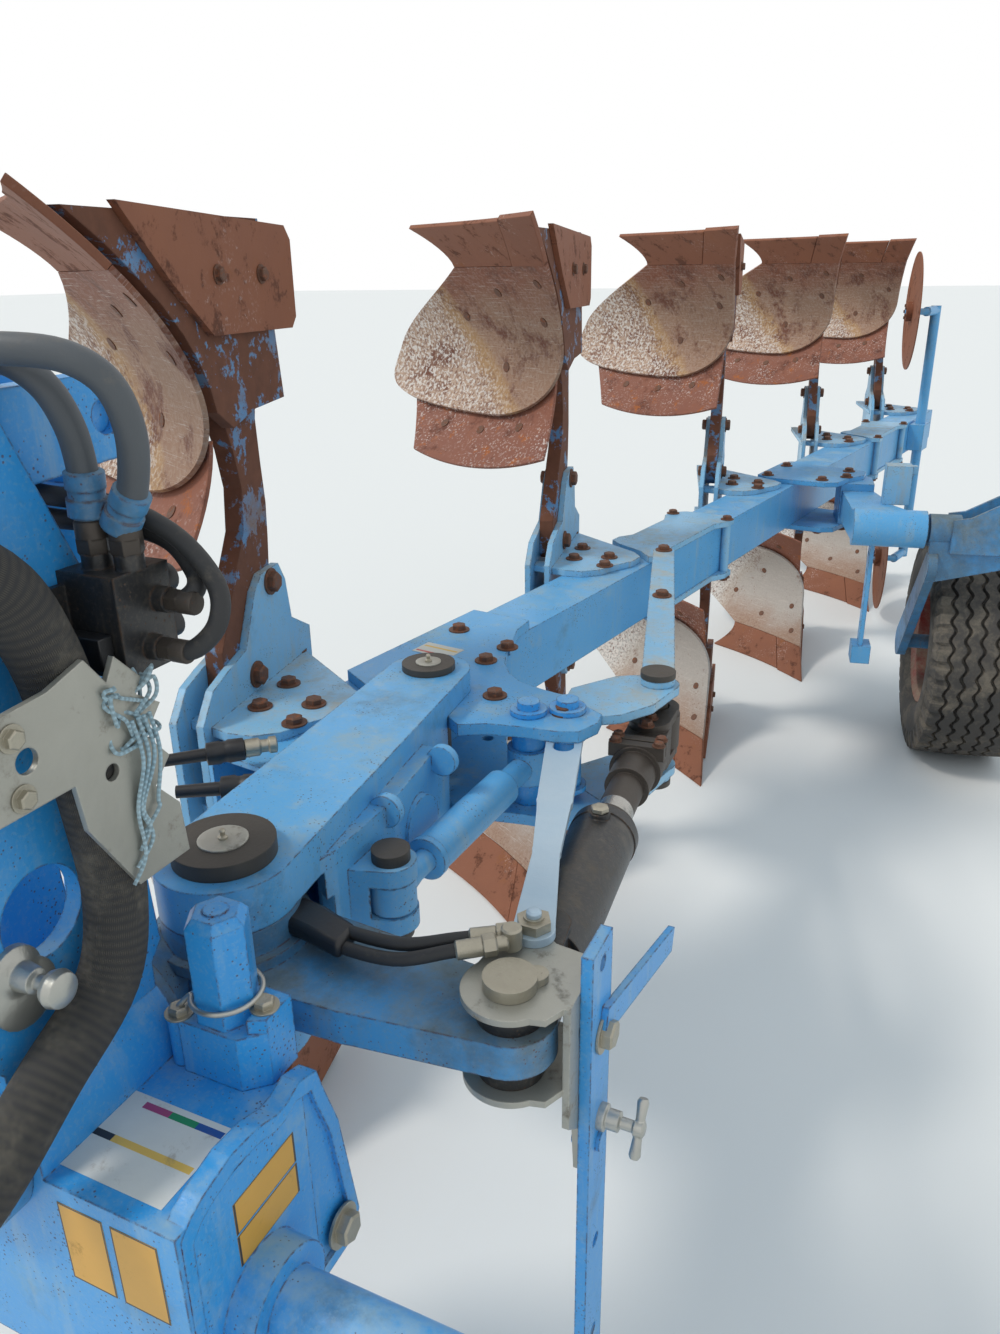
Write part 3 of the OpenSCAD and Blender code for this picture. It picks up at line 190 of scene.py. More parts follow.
class Graph:
    """A node tree with short calls for making and joining its nodes."""

    def __init__(self, tree: bpy.types.NodeTree) -> None:
        """Keeps the tree that the calls add to."""
        self.tree = tree

    def node(self, kind: str, **settings: object) -> bpy.types.Node:
        """Adds a node of a kind and sets its properties.

        Args:
            kind: The node's type.
            settings: A value for each property.

        Returns:
            The node.
        """
        made = self.tree.nodes.new(kind)
        for name, value in settings.items():
            setattr(made, name, value)
        return made

    def put(self, socket: bpy.types.NodeSocket, value: object) -> None:
        """Joins a socket to an output, or sets its number or colour.

        Args:
            socket: The input.
            value: An output, or the value to set.
        """
        if isinstance(value, bpy.types.NodeSocket):
            self.tree.links.new(value, socket)
        else:
            socket.default_value = value

    def math(self, operation: str, a: object, b: object = 0.0, clamp: bool = False) -> bpy.types.NodeSocket:
        """The output of a Math node on one or two values.

        Args:
            operation: The node's operation.
            a: First value or output.
            b: Second value or output.
            clamp: Whether the result stays from 0 to 1.

        Returns:
            The result.
        """
        made = self.node("ShaderNodeMath", operation=operation, use_clamp=clamp)
        self.put(made.inputs[0], a)
        self.put(made.inputs[1], b)
        return made.outputs[0]

    def blend(self, mask: object, a: object, b: object) -> bpy.types.NodeSocket:
        """Colour a where the mask is 0, b where it is 1.

        Args:
            mask: Share of colour b.
            a: First colour.
            b: Second colour.

        Returns:
            The mixed colour.
        """
        made = self.node("ShaderNodeMix", data_type="RGBA")
        self.put(made.inputs[0], mask)
        self.put(made.inputs[6], a)
        self.put(made.inputs[7], b)
        return made.outputs[2]

    def noise(self, vector: object, scale: object, detail: float = 5, rough: float = 0.6,
              twist: float = 0) -> bpy.types.NodeSocket:
        """The factor of a noise texture on a vector.

        Args:
            vector: Where it is read.
            scale: How fine it is.
            detail: Number of layers.
            rough: Weight of the finer layers.
            twist: How far it is distorted.

        Returns:
            The factor.
        """
        made = self.node("ShaderNodeTexNoise")
        self.put(made.inputs["Vector"], vector)
        self.put(made.inputs["Scale"], scale)
        made.inputs["Detail"].default_value = detail
        made.inputs["Roughness"].default_value = rough
        made.inputs["Distortion"].default_value = twist
        return made.outputs["Fac"]

    def ramp(self, value: object, low: object, high: object) -> bpy.types.NodeSocket:
        """A smooth step of a value from 0 at low to 1 at high.

        Args:
            value: The value.
            low: Where the step starts.
            high: Where it ends.

        Returns:
            The step.
        """
        made = self.node("ShaderNodeMapRange", interpolation_type="SMOOTHSTEP")
        self.put(made.inputs["Value"], value)
        self.put(made.inputs["From Min"], low)
        self.put(made.inputs["From Max"], high)
        return made.outputs["Result"]

    def stretched(self, vector: object, scale: Sequence[float], turn: float = 0) -> bpy.types.NodeSocket:
        """A vector stretched and turned about its third axis.

        Args:
            vector: The vector.
            scale: Stretch along each axis.
            turn: Turn in degrees.

        Returns:
            The new vector.
        """
        made = self.node("ShaderNodeMapping")
        self.put(made.inputs["Vector"], vector)
        made.inputs["Scale"].default_value = scale
        made.inputs["Rotation"].default_value = (0, 0, math.radians(turn))
        return made.outputs["Vector"]

    def parts(self, vector: object) -> bpy.types.bpy_prop_collection:
        """The outputs X, Y and Z of a vector.

        Args:
            vector: The vector.

        Returns:
            The outputs, found by name.
        """
        made = self.node("ShaderNodeSeparateXYZ")
        self.put(made.inputs[0], vector)
        return made.outputs


class Effects:
    """Shader node groups that several finishes use, each built once."""

    made: dict[str, bpy.types.NodeTree] = {}

    @classmethod
    def tree(cls, name: str, inputs: dict[str, str], outputs: dict[str, str],
             fill: Callable[[Graph, bpy.types.Node, bpy.types.Node], None]) -> bpy.types.NodeTree:
        """A group by its name, built on its first use.

        Args:
            name: The group's name.
            inputs: Socket type for each input's name.
            outputs: Socket type for each output's name.
            fill: Adds the nodes between the group's input and output nodes.

        Returns:
            The node tree.
        """
        if name not in cls.made:
            tree = bpy.data.node_groups.new(name, "ShaderNodeTree")
            for way, sockets in (("INPUT", inputs), ("OUTPUT", outputs)):
                for label, kind in sockets.items():
                    tree.interface.new_socket(label, in_out=way, socket_type=kind)
            graph = Graph(tree)
            fill(graph, graph.node("NodeGroupInput"), graph.node("NodeGroupOutput"))
            cls.made[name] = tree
        return cls.made[name]

    @classmethod
    def patches(cls) -> bpy.types.NodeTree:
        """Ragged patches, such as dust or rust, that may lean to the surfaces that face up.

        Returns:
            The group.
        """
        def fill(g: Graph, given: bpy.types.Node, out: bpy.types.Node) -> None:
            """Two noises, and the object's own upward side, against a threshold.

            Args:
                g: The group's graph.
                given: The group's input node.
                out: The group's output node.
            """
            wide = g.noise(given.outputs["Vector"], given.outputs["Scale"], 6, 0.62, 0.4)
            fine = g.noise(given.outputs["Vector"], g.math("MULTIPLY", given.outputs["Scale"], 7.3), 4, 0.7)
            both = g.math("ADD", g.math("MULTIPLY", wide, 0.72), g.math("MULTIPLY", fine, 0.28))
            lean = g.math("MULTIPLY", g.parts(given.outputs["Facing"])["Z"], given.outputs["Lean"])
            edge = g.math("SUBTRACT", 1.0, given.outputs["Cover"])
            low = g.math("SUBTRACT", edge, given.outputs["Softness"])
            high = g.math("ADD", edge, given.outputs["Softness"])
            g.put(out.inputs["Mask"], g.ramp(g.math("ADD", both, lean), low, high))
        inputs = {"Vector": VECTOR, "Facing": VECTOR, "Scale": NUMBER, "Cover": NUMBER, "Softness": NUMBER,
                  "Lean": NUMBER}
        return cls.tree("ragged_patches", inputs, {"Mask": NUMBER}, fill)

    @classmethod
    def edges(cls) -> bpy.types.NodeTree:
        """A softened normal, and a mask along the sharp edges.

        Returns:
            The group.
        """
        def fill(g: Graph, given: bpy.types.Node, out: bpy.types.Node) -> None:
            """Compares the rounded normal with the flat one.

            Args:
                g: The group's graph.
                given: The group's input node.
                out: The group's output node.
            """
            soft = g.node("ShaderNodeBevel", samples=4)
            g.put(soft.inputs["Radius"], given.outputs["Radius"])
            plain = g.node("ShaderNodeNewGeometry")
            dot = g.node("ShaderNodeVectorMath", operation="DOT_PRODUCT")
            g.put(dot.inputs[0], soft.outputs[0])
            g.put(dot.inputs[1], plain.outputs["Normal"])
            broken = g.noise(given.outputs["Vector"], given.outputs["Scale"], 4, 0.65)
            bent = g.math("SUBTRACT", 1.0, dot.outputs["Value"])
            worn = g.math("MULTIPLY", g.ramp(bent, 0.02, 0.16), g.ramp(broken, 0.42, 0.58))
            g.put(out.inputs["Normal"], soft.outputs[0])
            g.put(out.inputs["Mask"], worn)
        return cls.tree("worn_edges", {"Vector": VECTOR, "Scale": NUMBER, "Radius": NUMBER},
                        {"Normal": VECTOR, "Mask": NUMBER}, fill)

    @classmethod
    def grain(cls) -> bpy.types.NodeTree:
        """Height of a fine, uneven surface.

        Returns:
            The group.
        """
        def fill(g: Graph, given: bpy.types.Node, out: bpy.types.Node) -> None:
            """A coarse noise and a finer one over it.

            Args:
                g: The group's graph.
                given: The group's input node.
                out: The group's output node.
            """
            low = g.noise(given.outputs["Vector"], given.outputs["Scale"], 4, 0.55)
            high = g.noise(given.outputs["Vector"], g.math("MULTIPLY", given.outputs["Scale"], 6.0), 3, 0.6)
            g.put(out.inputs["Height"], g.math("ADD", low, g.math("MULTIPLY", high, 0.4)))
        return cls.tree("surface_grain", {"Vector": VECTOR, "Scale": NUMBER}, {"Height": NUMBER}, fill)

    @classmethod
    def flecks(cls) -> bpy.types.NodeTree:
        """Small round flecks that gather in patches.

        Returns:
            The group.
        """
        def fill(g: Graph, given: bpy.types.Node, out: bpy.types.Node) -> None:
            """Cells whose middle is filled where a noise is high.

            Args:
                g: The group's graph.
                given: The group's input node.
                out: The group's output node.
            """
            cells = g.node("ShaderNodeTexVoronoi", feature="F1")
            g.put(cells.inputs["Vector"], given.outputs["Vector"])
            g.put(cells.inputs["Scale"], given.outputs["Scale"])
            wide = g.math("MULTIPLY", given.outputs["Scale"], 0.09)
            patch = g.noise(given.outputs["Vector"], wide, 4, 0.6, 0.6)
            size = g.math("MULTIPLY", g.ramp(patch, 0.36, 0.66), given.outputs["Size"])
            inside = g.math("SUBTRACT", size, cells.outputs["Distance"])
            g.put(out.inputs["Mask"], g.ramp(inside, -0.05, 0.07))
        return cls.tree("gathered_flecks", {"Vector": VECTOR, "Scale": NUMBER, "Size": NUMBER},
                        {"Mask": NUMBER}, fill)


class Coat(Graph):
    """A material in the making, with its shader and the shared effects."""

    def __init__(self, name: str) -> None:
        """Opens a new material and its shader.

        Args:
            name: The material's name.
        """
        self.material = bpy.data.materials.new(name)
        self.material.use_nodes = True
        super().__init__(self.material.node_tree)
        self.tree.nodes.clear()
        self.shader = self.node("ShaderNodeBsdfPrincipled")
        output = self.node("ShaderNodeOutputMaterial")
        self.put(output.inputs["Surface"], self.shader.outputs[0])
        place = self.node("ShaderNodeTexCoord")
        self.space = place.outputs["Object"]
        self.facing = place.outputs["Normal"]
        self.uv = place.outputs["UV"]

    def effect(self, tree: bpy.types.NodeTree, vector: object, **values: object) -> bpy.types.Node:
        """Places a shared effect with its own values and returns its node.

        Args:
            tree: The effect's group.
            vector: Where it is read.
            values: A value for each of its inputs.

        Returns:
            The group's node.
        """
        made = self.node("ShaderNodeGroup", node_tree=tree)
        self.put(made.inputs["Vector"], vector)
        for name, value in values.items():
            self.put(made.inputs[name], value)
        return made

    def patches(self, scale: float, cover: float, softness: float, lean: float = 0.0) -> bpy.types.NodeSocket:
        """The mask of ragged patches."""
        return self.effect(Effects.patches(), self.space, Facing=self.facing, Scale=scale, Cover=cover,
                           Softness=softness, Lean=lean).outputs["Mask"]

    def flecks(self, scale: float, size: float, vector: object = None) -> bpy.types.NodeSocket:
        """The mask of gathered flecks."""
        return self.effect(Effects.flecks(), vector or self.space, Scale=scale, Size=size).outputs["Mask"]

    def edges(self, radius: float) -> bpy.types.Node:
        """The softened edges' node."""
        return self.effect(Effects.edges(), self.space, Scale=90.0, Radius=radius)

    def grain(self, scale: float) -> bpy.types.NodeSocket:
        """The height of a fine, uneven surface."""
        return self.effect(Effects.grain(), self.space, Scale=scale).outputs["Height"]

    def lay(self, base: object, mask: object, share: object, colour: object) -> bpy.types.NodeSocket:
        """The base with a colour laid over it where a mask is, at a share of the mask's strength."""
        return self.blend(self.math("MULTIPLY", mask, share), base, colour)

    def finish(self, colour: object, roughness: object, metallic: object = 0.0, height: object = None,
               depth: float = 0.0, normal: object = None) -> bpy.types.Material:
        """Feeds the shader and returns the material.

        Args:
            colour: Base colour.
            roughness: Roughness.
            metallic: Metallic part.
            height: Height of the relief, where there is one.
            depth: The relief's depth in metres.
            normal: A normal that the relief stands on.

        Returns:
            The finished material.
        """
        self.put(self.shader.inputs["Base Color"], colour)
        self.put(self.shader.inputs["Roughness"], roughness)
        self.put(self.shader.inputs["Metallic"], metallic)
        if height is not None:
            bump = self.node("ShaderNodeBump")
            bump.inputs["Strength"].default_value = 0.6
            bump.inputs["Distance"].default_value = depth
            self.put(bump.inputs["Height"], height)
            if normal is not None:
                self.put(bump.inputs["Normal"], normal)
            normal = bump.outputs[0]
        if normal is not None:
            self.put(self.shader.inputs["Normal"], normal)
        return self.material


# Finishes


@dataclass(frozen=True)
class Paint:
    """Weathered paint on steel: two tones, scuffs, dust that lies on top, and rust at edges and in spots."""

    name: str
    slot: str
    colour: Point
    tone: Point
    dust: Point = srgb(150, 138, 118)
    dust_cover: float = 0.30
    dust_lean: float = 0.12
    scuff: Point = srgb(150, 180, 200)
    scuff_cover: float = 0.27
    rust: Point = srgb(104, 62, 40)
    rust_cover: float = 0.24
    gloss: float = 0.38
    edge: float = 0.004
    relief: float = 0.0006
    grime: Point = srgb(72, 84, 86)
    grime_cover: float = 0.34

    def make(self) -> bpy.types.Material:
        """Builds the material.

        Returns:
            The material.
        """
        coat = Coat(self.name)
        worn = coat.edges(self.edge)
        base = coat.blend(coat.noise(coat.space, 3.1, 6, 0.6, 0.3), self.colour, self.tone)
        base = coat.lay(base, coat.patches(24, self.scuff_cover, 0.03), 0.55, self.scuff)
        streak = coat.noise(coat.stretched(coat.space, (9, 9, 1.3)), 3.0, 5, 0.65)
        base = coat.lay(base, coat.ramp(streak, 0.52, 0.74), 0.45, self.dust)
        # Dust leans to the upward faces; on the azure paint its cyan tint also paints sky light on them.
        dust = coat.patches(7.5, self.dust_cover, 0.13, self.dust_lean)
        base = coat.lay(base, dust, 0.82, self.dust)
        base = coat.lay(base, coat.patches(4.6, self.grime_cover, 0.11), 0.62, self.grime)
        mottle = coat.ramp(coat.noise(coat.space, 210, 4, 0.7), 0.50, 0.66)
        base = coat.lay(base, mottle, 0.22, self.dust)
        bare = coat.math("MAXIMUM", coat.patches(13, self.rust_cover, 0.02), worn.outputs["Mask"])
        bare = coat.math("MAXIMUM", bare, coat.math("MULTIPLY", coat.flecks(170, 0.23), 0.7))
        rusty = coat.blend(coat.noise(coat.space, 40), self.rust, shade(self.rust, 0.45))
        base = coat.blend(bare, base, rusty)
        dull = coat.math("MULTIPLY", coat.math("MAXIMUM", dust, bare), 0.5)
        rough = coat.math("ADD", self.gloss, dull, True)
        grain = coat.grain(60.0)
        height = coat.math("SUBTRACT", grain, coat.math("MULTIPLY", bare, 0.8))
        return coat.finish(base, rough, 0.0, height, self.relief, worn.outputs["Normal"])


@dataclass(frozen=True)
class Steel:
    """Bare or plated steel: two tones, stains and rust, with brighter worn edges."""

    name: str
    slot: str
    colour: Point
    tone: Point
    rust: Point = srgb(112, 66, 42)
    rust_cover: float = 0.3
    stain: Point = srgb(70, 52, 42)
    stain_cover: float = 0.3
    metal: float = 0.6
    gloss: float = 0.45
    edge: float = 0.002
    shine: float = 0.4
    relief: float = 0.0008
    scale: float = 14.0
    speck: Point = srgb(206, 190, 182)
    speck_cover: float = 0.0

    def make(self) -> bpy.types.Material:
        """Builds the material.

        Returns:
            The material.
        """
        coat = Coat(self.name)
        worn = coat.edges(self.edge)
        base = coat.blend(coat.noise(coat.space, self.scale * 0.4, 6, 0.65, 0.5), self.colour, self.tone)
        stain = coat.patches(self.scale, self.stain_cover, 0.07, 0.02)
        base = coat.lay(base, stain, 0.75, self.stain)
        rust = coat.patches(self.scale * 1.7, self.rust_cover, 0.05)
        base = coat.blend(rust, base, self.rust)
        if self.speck_cover:
            pale = coat.ramp(coat.noise(coat.space, 150, 4, 0.6), 0.54, 0.62)
            where = coat.patches(5.5, self.speck_cover, 0.12)
            base = coat.lay(base, pale, where, self.speck)
        base = coat.lay(base, worn.outputs["Mask"], self.shine, shade(self.colour, 1.5))
        dull = coat.math("MAXIMUM", stain, rust)
        rough = coat.math("ADD", self.gloss, coat.math("MULTIPLY", dull, 0.42), True)
        metal = coat.math("MULTIPLY", coat.math("SUBTRACT", 1.0, dull), self.metal)
        height = coat.math("ADD", coat.grain(self.scale * 6), coat.math("MULTIPLY", rust, 0.6))
        return coat.finish(base, rough, metal, height, self.relief, worn.outputs["Normal"])


@dataclass(frozen=True)
class SoilPolished:
    """A mouldboard's worn face: brown at the share, scratched grey-brown above, speckled pale at the wing."""

    name: str
    slot: str
    low: Point = srgb(132, 78, 54)
    middle: Point = srgb(150, 118, 96)
    wing: Point = srgb(176, 150, 130)
    speck: Point = srgb(214, 206, 198)
    ochre: Point = srgb(178, 140, 86)
    brown: Point = srgb(104, 60, 42)
    speck_edge: float = 0.49
    brown_cover: float = 0.44
    band: float = 0.55

    def make(self) -> bpy.types.Material:
        """Builds the material, whose map runs along and up the board in metres.

        Returns:
            The material.
        """
        coat = Coat(self.name)
        place = coat.parts(coat.uv)
        along, height = place["X"], place["Y"]
        wander = coat.math("MULTIPLY", coat.math("SUBTRACT", coat.noise(coat.space, 7), 0.5), 0.16)
        rise = coat.ramp(coat.math("ADD", height, wander), 0.08, 0.24)
        base = coat.blend(rise, self.low, self.middle)
        lines = coat.noise(coat.stretched(coat.uv, (2.2, 80.0, 1.0), -24), 4.0, 6, 0.7, 1.3)
        scratch = coat.ramp(lines, 0.56, 0.66)
        base = coat.lay(base, scratch, 0.42, self.speck)
        diagonal = coat.math("ADD", coat.math("ADD", coat.math("MULTIPLY", along, 0.9), height), wander)
        outer = coat.ramp(diagonal, 0.56, 0.70)
        base = coat.blend(outer, base, self.wing)
        off = coat.math("ABSOLUTE", coat.math("SUBTRACT", diagonal, 0.61))
        near = coat.math("SUBTRACT", 1.0, coat.ramp(off, 0.01, 0.06))
        base = coat.lay(base, near, self.band, self.ochre)
        base = coat.blend(coat.patches(9, self.brown_cover, 0.07), base, self.brown)
        turned = coat.stretched(coat.space, (1, 1, 1), 40)
        pepper = coat.ramp(coat.noise(turned, 105, 4, 0.6), 0.49, 0.60)
        base = coat.lay(base, pepper, coat.math("MULTIPLY", outer, 0.75), self.brown)
        salt = coat.ramp(coat.noise(coat.space, 120, 4, 0.6), self.speck_edge, self.speck_edge + 0.09)
        pale = coat.math("MULTIPLY", salt, coat.math("ADD", coat.math("MULTIPLY", outer, 0.78), 0.10))
        base = coat.blend(pale, base, self.speck)
        dark = coat.flecks(95, 0.25, turned)
        base = coat.lay(base, dark, 0.7, self.brown)
        rough = coat.math("SUBTRACT", 0.62, coat.math("MULTIPLY", scratch, 0.18))
        metal = coat.math("MULTIPLY", coat.math("SUBTRACT", 1.0, coat.math("MAXIMUM", pale, dark)), 0.25)
        relief = coat.math("SUBTRACT", coat.grain(95.0), coat.math("MULTIPLY", scratch, 0.4))
        return coat.finish(base, rough, metal, relief, 0.0008)


@dataclass(frozen=True)
class Rubber:
    """Dusty rubber or woven sleeve, with ribs or a weave along its map where it has one."""

    name: str
    slot: str
    colour: Point = srgb(38, 38, 39)
    tone: Point = srgb(58, 56, 53)
    dust: Point = srgb(134, 122, 104)
    dust_cover: float = 0.34
    gloss: float = 0.6
    weave: float = 0.0
    relief: float = 0.0005

    def make(self) -> bpy.types.Material:
        """Builds the material.

        Returns:
            The material.
        """
        coat = Coat(self.name)
        base = coat.blend(coat.noise(coat.space, 11, 5, 0.6), self.colour, self.tone)
        dust = coat.patches(12, self.dust_cover, 0.12, 0.06)
        base = coat.lay(base, dust, 0.75, self.dust)
        height = coat.grain(130.0)
        if self.weave:
            threads = []
            for way in ("X", "Y"):
                wave = coat.node("ShaderNodeTexWave", bands_direction=way)
                coat.put(wave.inputs["Vector"], coat.uv)
                wave.inputs["Scale"].default_value = self.weave
                threads.append(wave.outputs["Fac"])
            woven = coat.math("MULTIPLY", threads[0], threads[1])
            base = coat.lay(base, woven, 0.35, self.dust)
            height = coat.math("ADD", height, coat.math("MULTIPLY", woven, 2.0))
        rough = coat.math("ADD", self.gloss, coat.math("MULTIPLY", dust, 0.3), True)
        return coat.finish(base, rough, 0.0, height, self.relief)


@dataclass(frozen=True)
class Stripe:
    """A coloured field on a blank plate, by its share of the plate's width and height."""

    left: float
    right: float
    low: float
    high: float
    colour: Point


@dataclass(frozen=True)
class Plate:
    """A blank sticker with coloured stripes, worn and dusty."""

    name: str
    slot: str
    ground: Point
    stripes: tuple[Stripe, ...] = ()

    def make(self) -> bpy.types.Material:
        """Builds the material.

        Returns:
            The material.
        """
        coat = Coat(self.name)
        place = coat.parts(coat.uv)
        base = coat.blend(coat.noise(coat.space, 30), self.ground, shade(self.ground, 0.86))
        for stripe in self.stripes:
            mask = 1.0
            for axis, low, high in (("X", stripe.left, stripe.right), ("Y", stripe.low, stripe.high)):
                over = coat.math("GREATER_THAN", place[axis], low)
                under = coat.math("LESS_THAN", place[axis], high)
                mask = coat.math("MULTIPLY", coat.math("MULTIPLY", over, under), mask)
            base = coat.blend(mask, base, stripe.colour)
        grime = coat.patches(28, 0.36, 0.08)
        base = coat.lay(base, grime, 0.5, srgb(128, 112, 92))
        return coat.finish(base, coat.math("ADD", 0.35, coat.math("MULTIPLY", grime, 0.4)))


# Its pale cyan dust leans to the upward faces: real dust there, with painted sky light in its cyan tint.
AZURE = Paint("azure_paint", "headstock_blue", srgb(36, 144, 218), srgb(68, 164, 226),
              dust=srgb(150, 182, 200), dust_cover=0.36, rust_cover=0.24, scuff=srgb(104, 170, 220),
              gloss=0.3)
FRAME_BLUE = Paint("frame_paint", "frame_blue", srgb(64, 152, 210), srgb(106, 176, 220),
                   dust=srgb(158, 176, 180), dust_cover=0.33, dust_lean=0.09, scuff=srgb(168, 190, 202),
                   rust_cover=0.25)
SANDY_BLUE = Paint("sandy_paint", "frame_blue", srgb(98, 170, 216), srgb(150, 196, 220),
                   dust=srgb(176, 168, 150), dust_cover=0.37, dust_lean=0.08, rust_cover=0.30,
                   scuff=srgb(170, 186, 196))
ARM_BLUE = Paint("arm_paint", "frame_blue", srgb(46, 128, 188), srgb(84, 158, 206), dust=srgb(132, 140, 136),
                 dust_cover=0.42, rust_cover=0.25, grime_cover=0.50)
LEG_STEEL = Paint("leg_paint", "rusty_steel", srgb(58, 128, 184), srgb(96, 126, 150), dust=srgb(134, 104, 80),
                  dust_cover=0.40, dust_lean=0.0, rust=srgb(122, 76, 54), rust_cover=0.56,
                  scuff=srgb(120, 104, 92))
BLACK = Paint("black_paint", "cylinder_black", srgb(32, 33, 35), srgb(46, 46, 47), dust=srgb(104, 94, 80),
              dust_cover=0.27, scuff=srgb(84, 82, 80), rust=srgb(98, 74, 56), rust_cover=0.19, gloss=0.36)
RIM_RED = Paint("rim_paint", "rim_red", srgb(150, 34, 30), srgb(126, 40, 34), dust_cover=0.44,
                rust_cover=0.32, scuff=srgb(150, 90, 80), gloss=0.5)
ZINC = Steel("zinc_plate", "zinc", srgb(190, 190, 184), srgb(158, 158, 150), rust_cover=0.24, stain_cover=0.3,
             stain=srgb(120, 112, 98), metal=0.75, gloss=0.35)
PALE_STEEL = Steel("pale_lever", "zinc", srgb(200, 212, 220), srgb(160, 190, 210), rust_cover=0.27,
                   stain_cover=0.28, stain=srgb(128, 116, 98), metal=0.35, gloss=0.42)
GALVANISED = Steel("galvanised_sheet", "galvanised", srgb(184, 182, 172), srgb(152, 150, 140),
                   rust=srgb(96, 74, 54), rust_cover=0.31, stain=srgb(98, 84, 66), stain_cover=0.38,
                   metal=0.55, gloss=0.42)
ROD = Steel("polished_rod", "chrome_rod", srgb(188, 188, 184), srgb(150, 144, 136), rust_cover=0.33,
            rust=srgb(88, 58, 42), stain=srgb(66, 56, 48), stain_cover=0.4, metal=0.85, gloss=0.25)
DARK_STEEL = Steel("dark_clamp", "chrome_rod", srgb(84, 76, 68), srgb(62, 56, 52), rust_cover=0.36,
                   stain=srgb(46, 42, 40), metal=0.4, gloss=0.5)
DARK_PIN = Steel("dark_pin", "dark_rubber", srgb(58, 56, 54), srgb(80, 74, 66), rust_cover=0.32,
                 stain=srgb(110, 98, 80), metal=0.3, gloss=0.5)
RUST = Steel("rusty_steel", "rusty_steel", srgb(146, 88, 56), srgb(120, 70, 48), rust=srgb(98, 60, 44),
             rust_cover=0.42, stain=srgb(150, 98, 62), stain_cover=0.36, speck_cover=0.36, metal=0.08,
             gloss=0.62, shine=0.2, scale=11)
TRASH_RUST = Steel("purple_rust", "rusty_steel", srgb(146, 86, 56), srgb(120, 76, 66),
                   rust=srgb(170, 100, 56), rust_cover=0.40, stain=srgb(90, 58, 50), stain_cover=0.40,
                   speck_cover=0.46, metal=0.08, gloss=0.62, shine=0.2)
BOLT_RUST = Steel("rusty_bolt", "rusty_steel", srgb(112, 76, 56), srgb(88, 62, 50), rust=srgb(132, 80, 54),
                  rust_cover=0.45, metal=0.25, gloss=0.55, scale=60, edge=0.001)
BRIGHT_BOLT = Steel("plated_bolt", "zinc", srgb(186, 180, 164), srgb(150, 144, 128), rust_cover=0.3,
                    metal=0.7, gloss=0.35, scale=60, edge=0.001)
MOULD = SoilPolished("soil_polished", "worn_steel")
MOULD_LOWER = SoilPolished("soil_polished_low", "worn_steel", low=srgb(150, 120, 100),
                           middle=srgb(172, 164, 156), wing=srgb(188, 184, 178), speck_edge=0.47,
                           brown_cover=0.36, band=0.1)
TYRE = Rubber("tyre_rubber", "tyre", srgb(52, 50, 48), srgb(70, 66, 62), dust=srgb(128, 118, 104),
              dust_cover=0.45, gloss=0.75)
HOSE = Rubber("hose_rubber", "hose", srgb(34, 35, 37), srgb(52, 52, 52), dust_cover=0.3)
GREY_HOSE = Rubber("grey_hose_wrap", "hose", srgb(74, 78, 82), srgb(92, 95, 98), dust_cover=0.32, gloss=0.5)
SLEEVE = Rubber("woven_sleeve", "hose", srgb(40, 40, 42), srgb(58, 57, 56), dust=srgb(128, 120, 106),
                dust_cover=0.40, weave=34, gloss=0.85, relief=0.0012)
PLASTIC = Rubber("black_plastic", "hose", srgb(24, 25, 27), srgb(36, 36, 38), dust_cover=0.24, gloss=0.42)
TWINE = Rubber("pale_twine", "hose", srgb(150, 190, 208), srgb(190, 206, 208), dust=srgb(150, 138, 120),
               dust_cover=0.33, weave=60, gloss=0.8)
BORDER = srgb(60, 50, 40)
TABLE_PLATE = Plate("blank_table", "headstock_blue", srgb(226, 226, 220), (
    Stripe(0.27, 0.51, 0.85, 0.93, srgb(168, 70, 116)), Stripe(0.51, 0.75, 0.85, 0.93, srgb(40, 140, 92)),
    Stripe(0.75, 0.98, 0.85, 0.93, srgb(44, 86, 156)), Stripe(0.02, 0.28, 0.40, 0.48, srgb(46, 48, 54)),
    Stripe(0.28, 0.98, 0.40, 0.48, srgb(226, 186, 92))))
YELLOW_PLATE = Plate("blank_yellow", "headstock_blue", srgb(222, 166, 62), (
    Stripe(0, 0.03, 0, 1, BORDER), Stripe(0.97, 1, 0, 1, BORDER),
    Stripe(0, 1, 0, 0.02, BORDER), Stripe(0, 1, 0.98, 1, BORDER)))
PALE_PLATE = Plate("blank_pale", "frame_blue", srgb(206, 204, 194), (
    Stripe(0.05, 0.95, 0.12, 0.24, srgb(190, 70, 60)), Stripe(0.05, 0.95, 0.62, 0.74, srgb(214, 176, 80))))
Finish = Paint | Steel | SoilPolished | Rubber | Plate
DRESSED: dict[str, bpy.types.Material] = {}


def dress(finish: Finish) -> bpy.types.Material:
    """A finish's material, built once.

    Args:
        finish: The finish.

    Returns:
        The material.
    """
    if finish.name not in DRESSED:
        DRESSED[finish.name] = finish.make()
    return DRESSED[finish.name]


def repaint(finish: Finish, *nodes: str) -> None:
    """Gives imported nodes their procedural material.

    Args:
        finish: The finish.
        nodes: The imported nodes' names.
    """
    for node in nodes:
        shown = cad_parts[node]
        for slot in shown.material_slots:
            slot.material = dress(finish)
        if not shown.material_slots:
            shown.data.materials.append(dress(finish))


# Mesh making


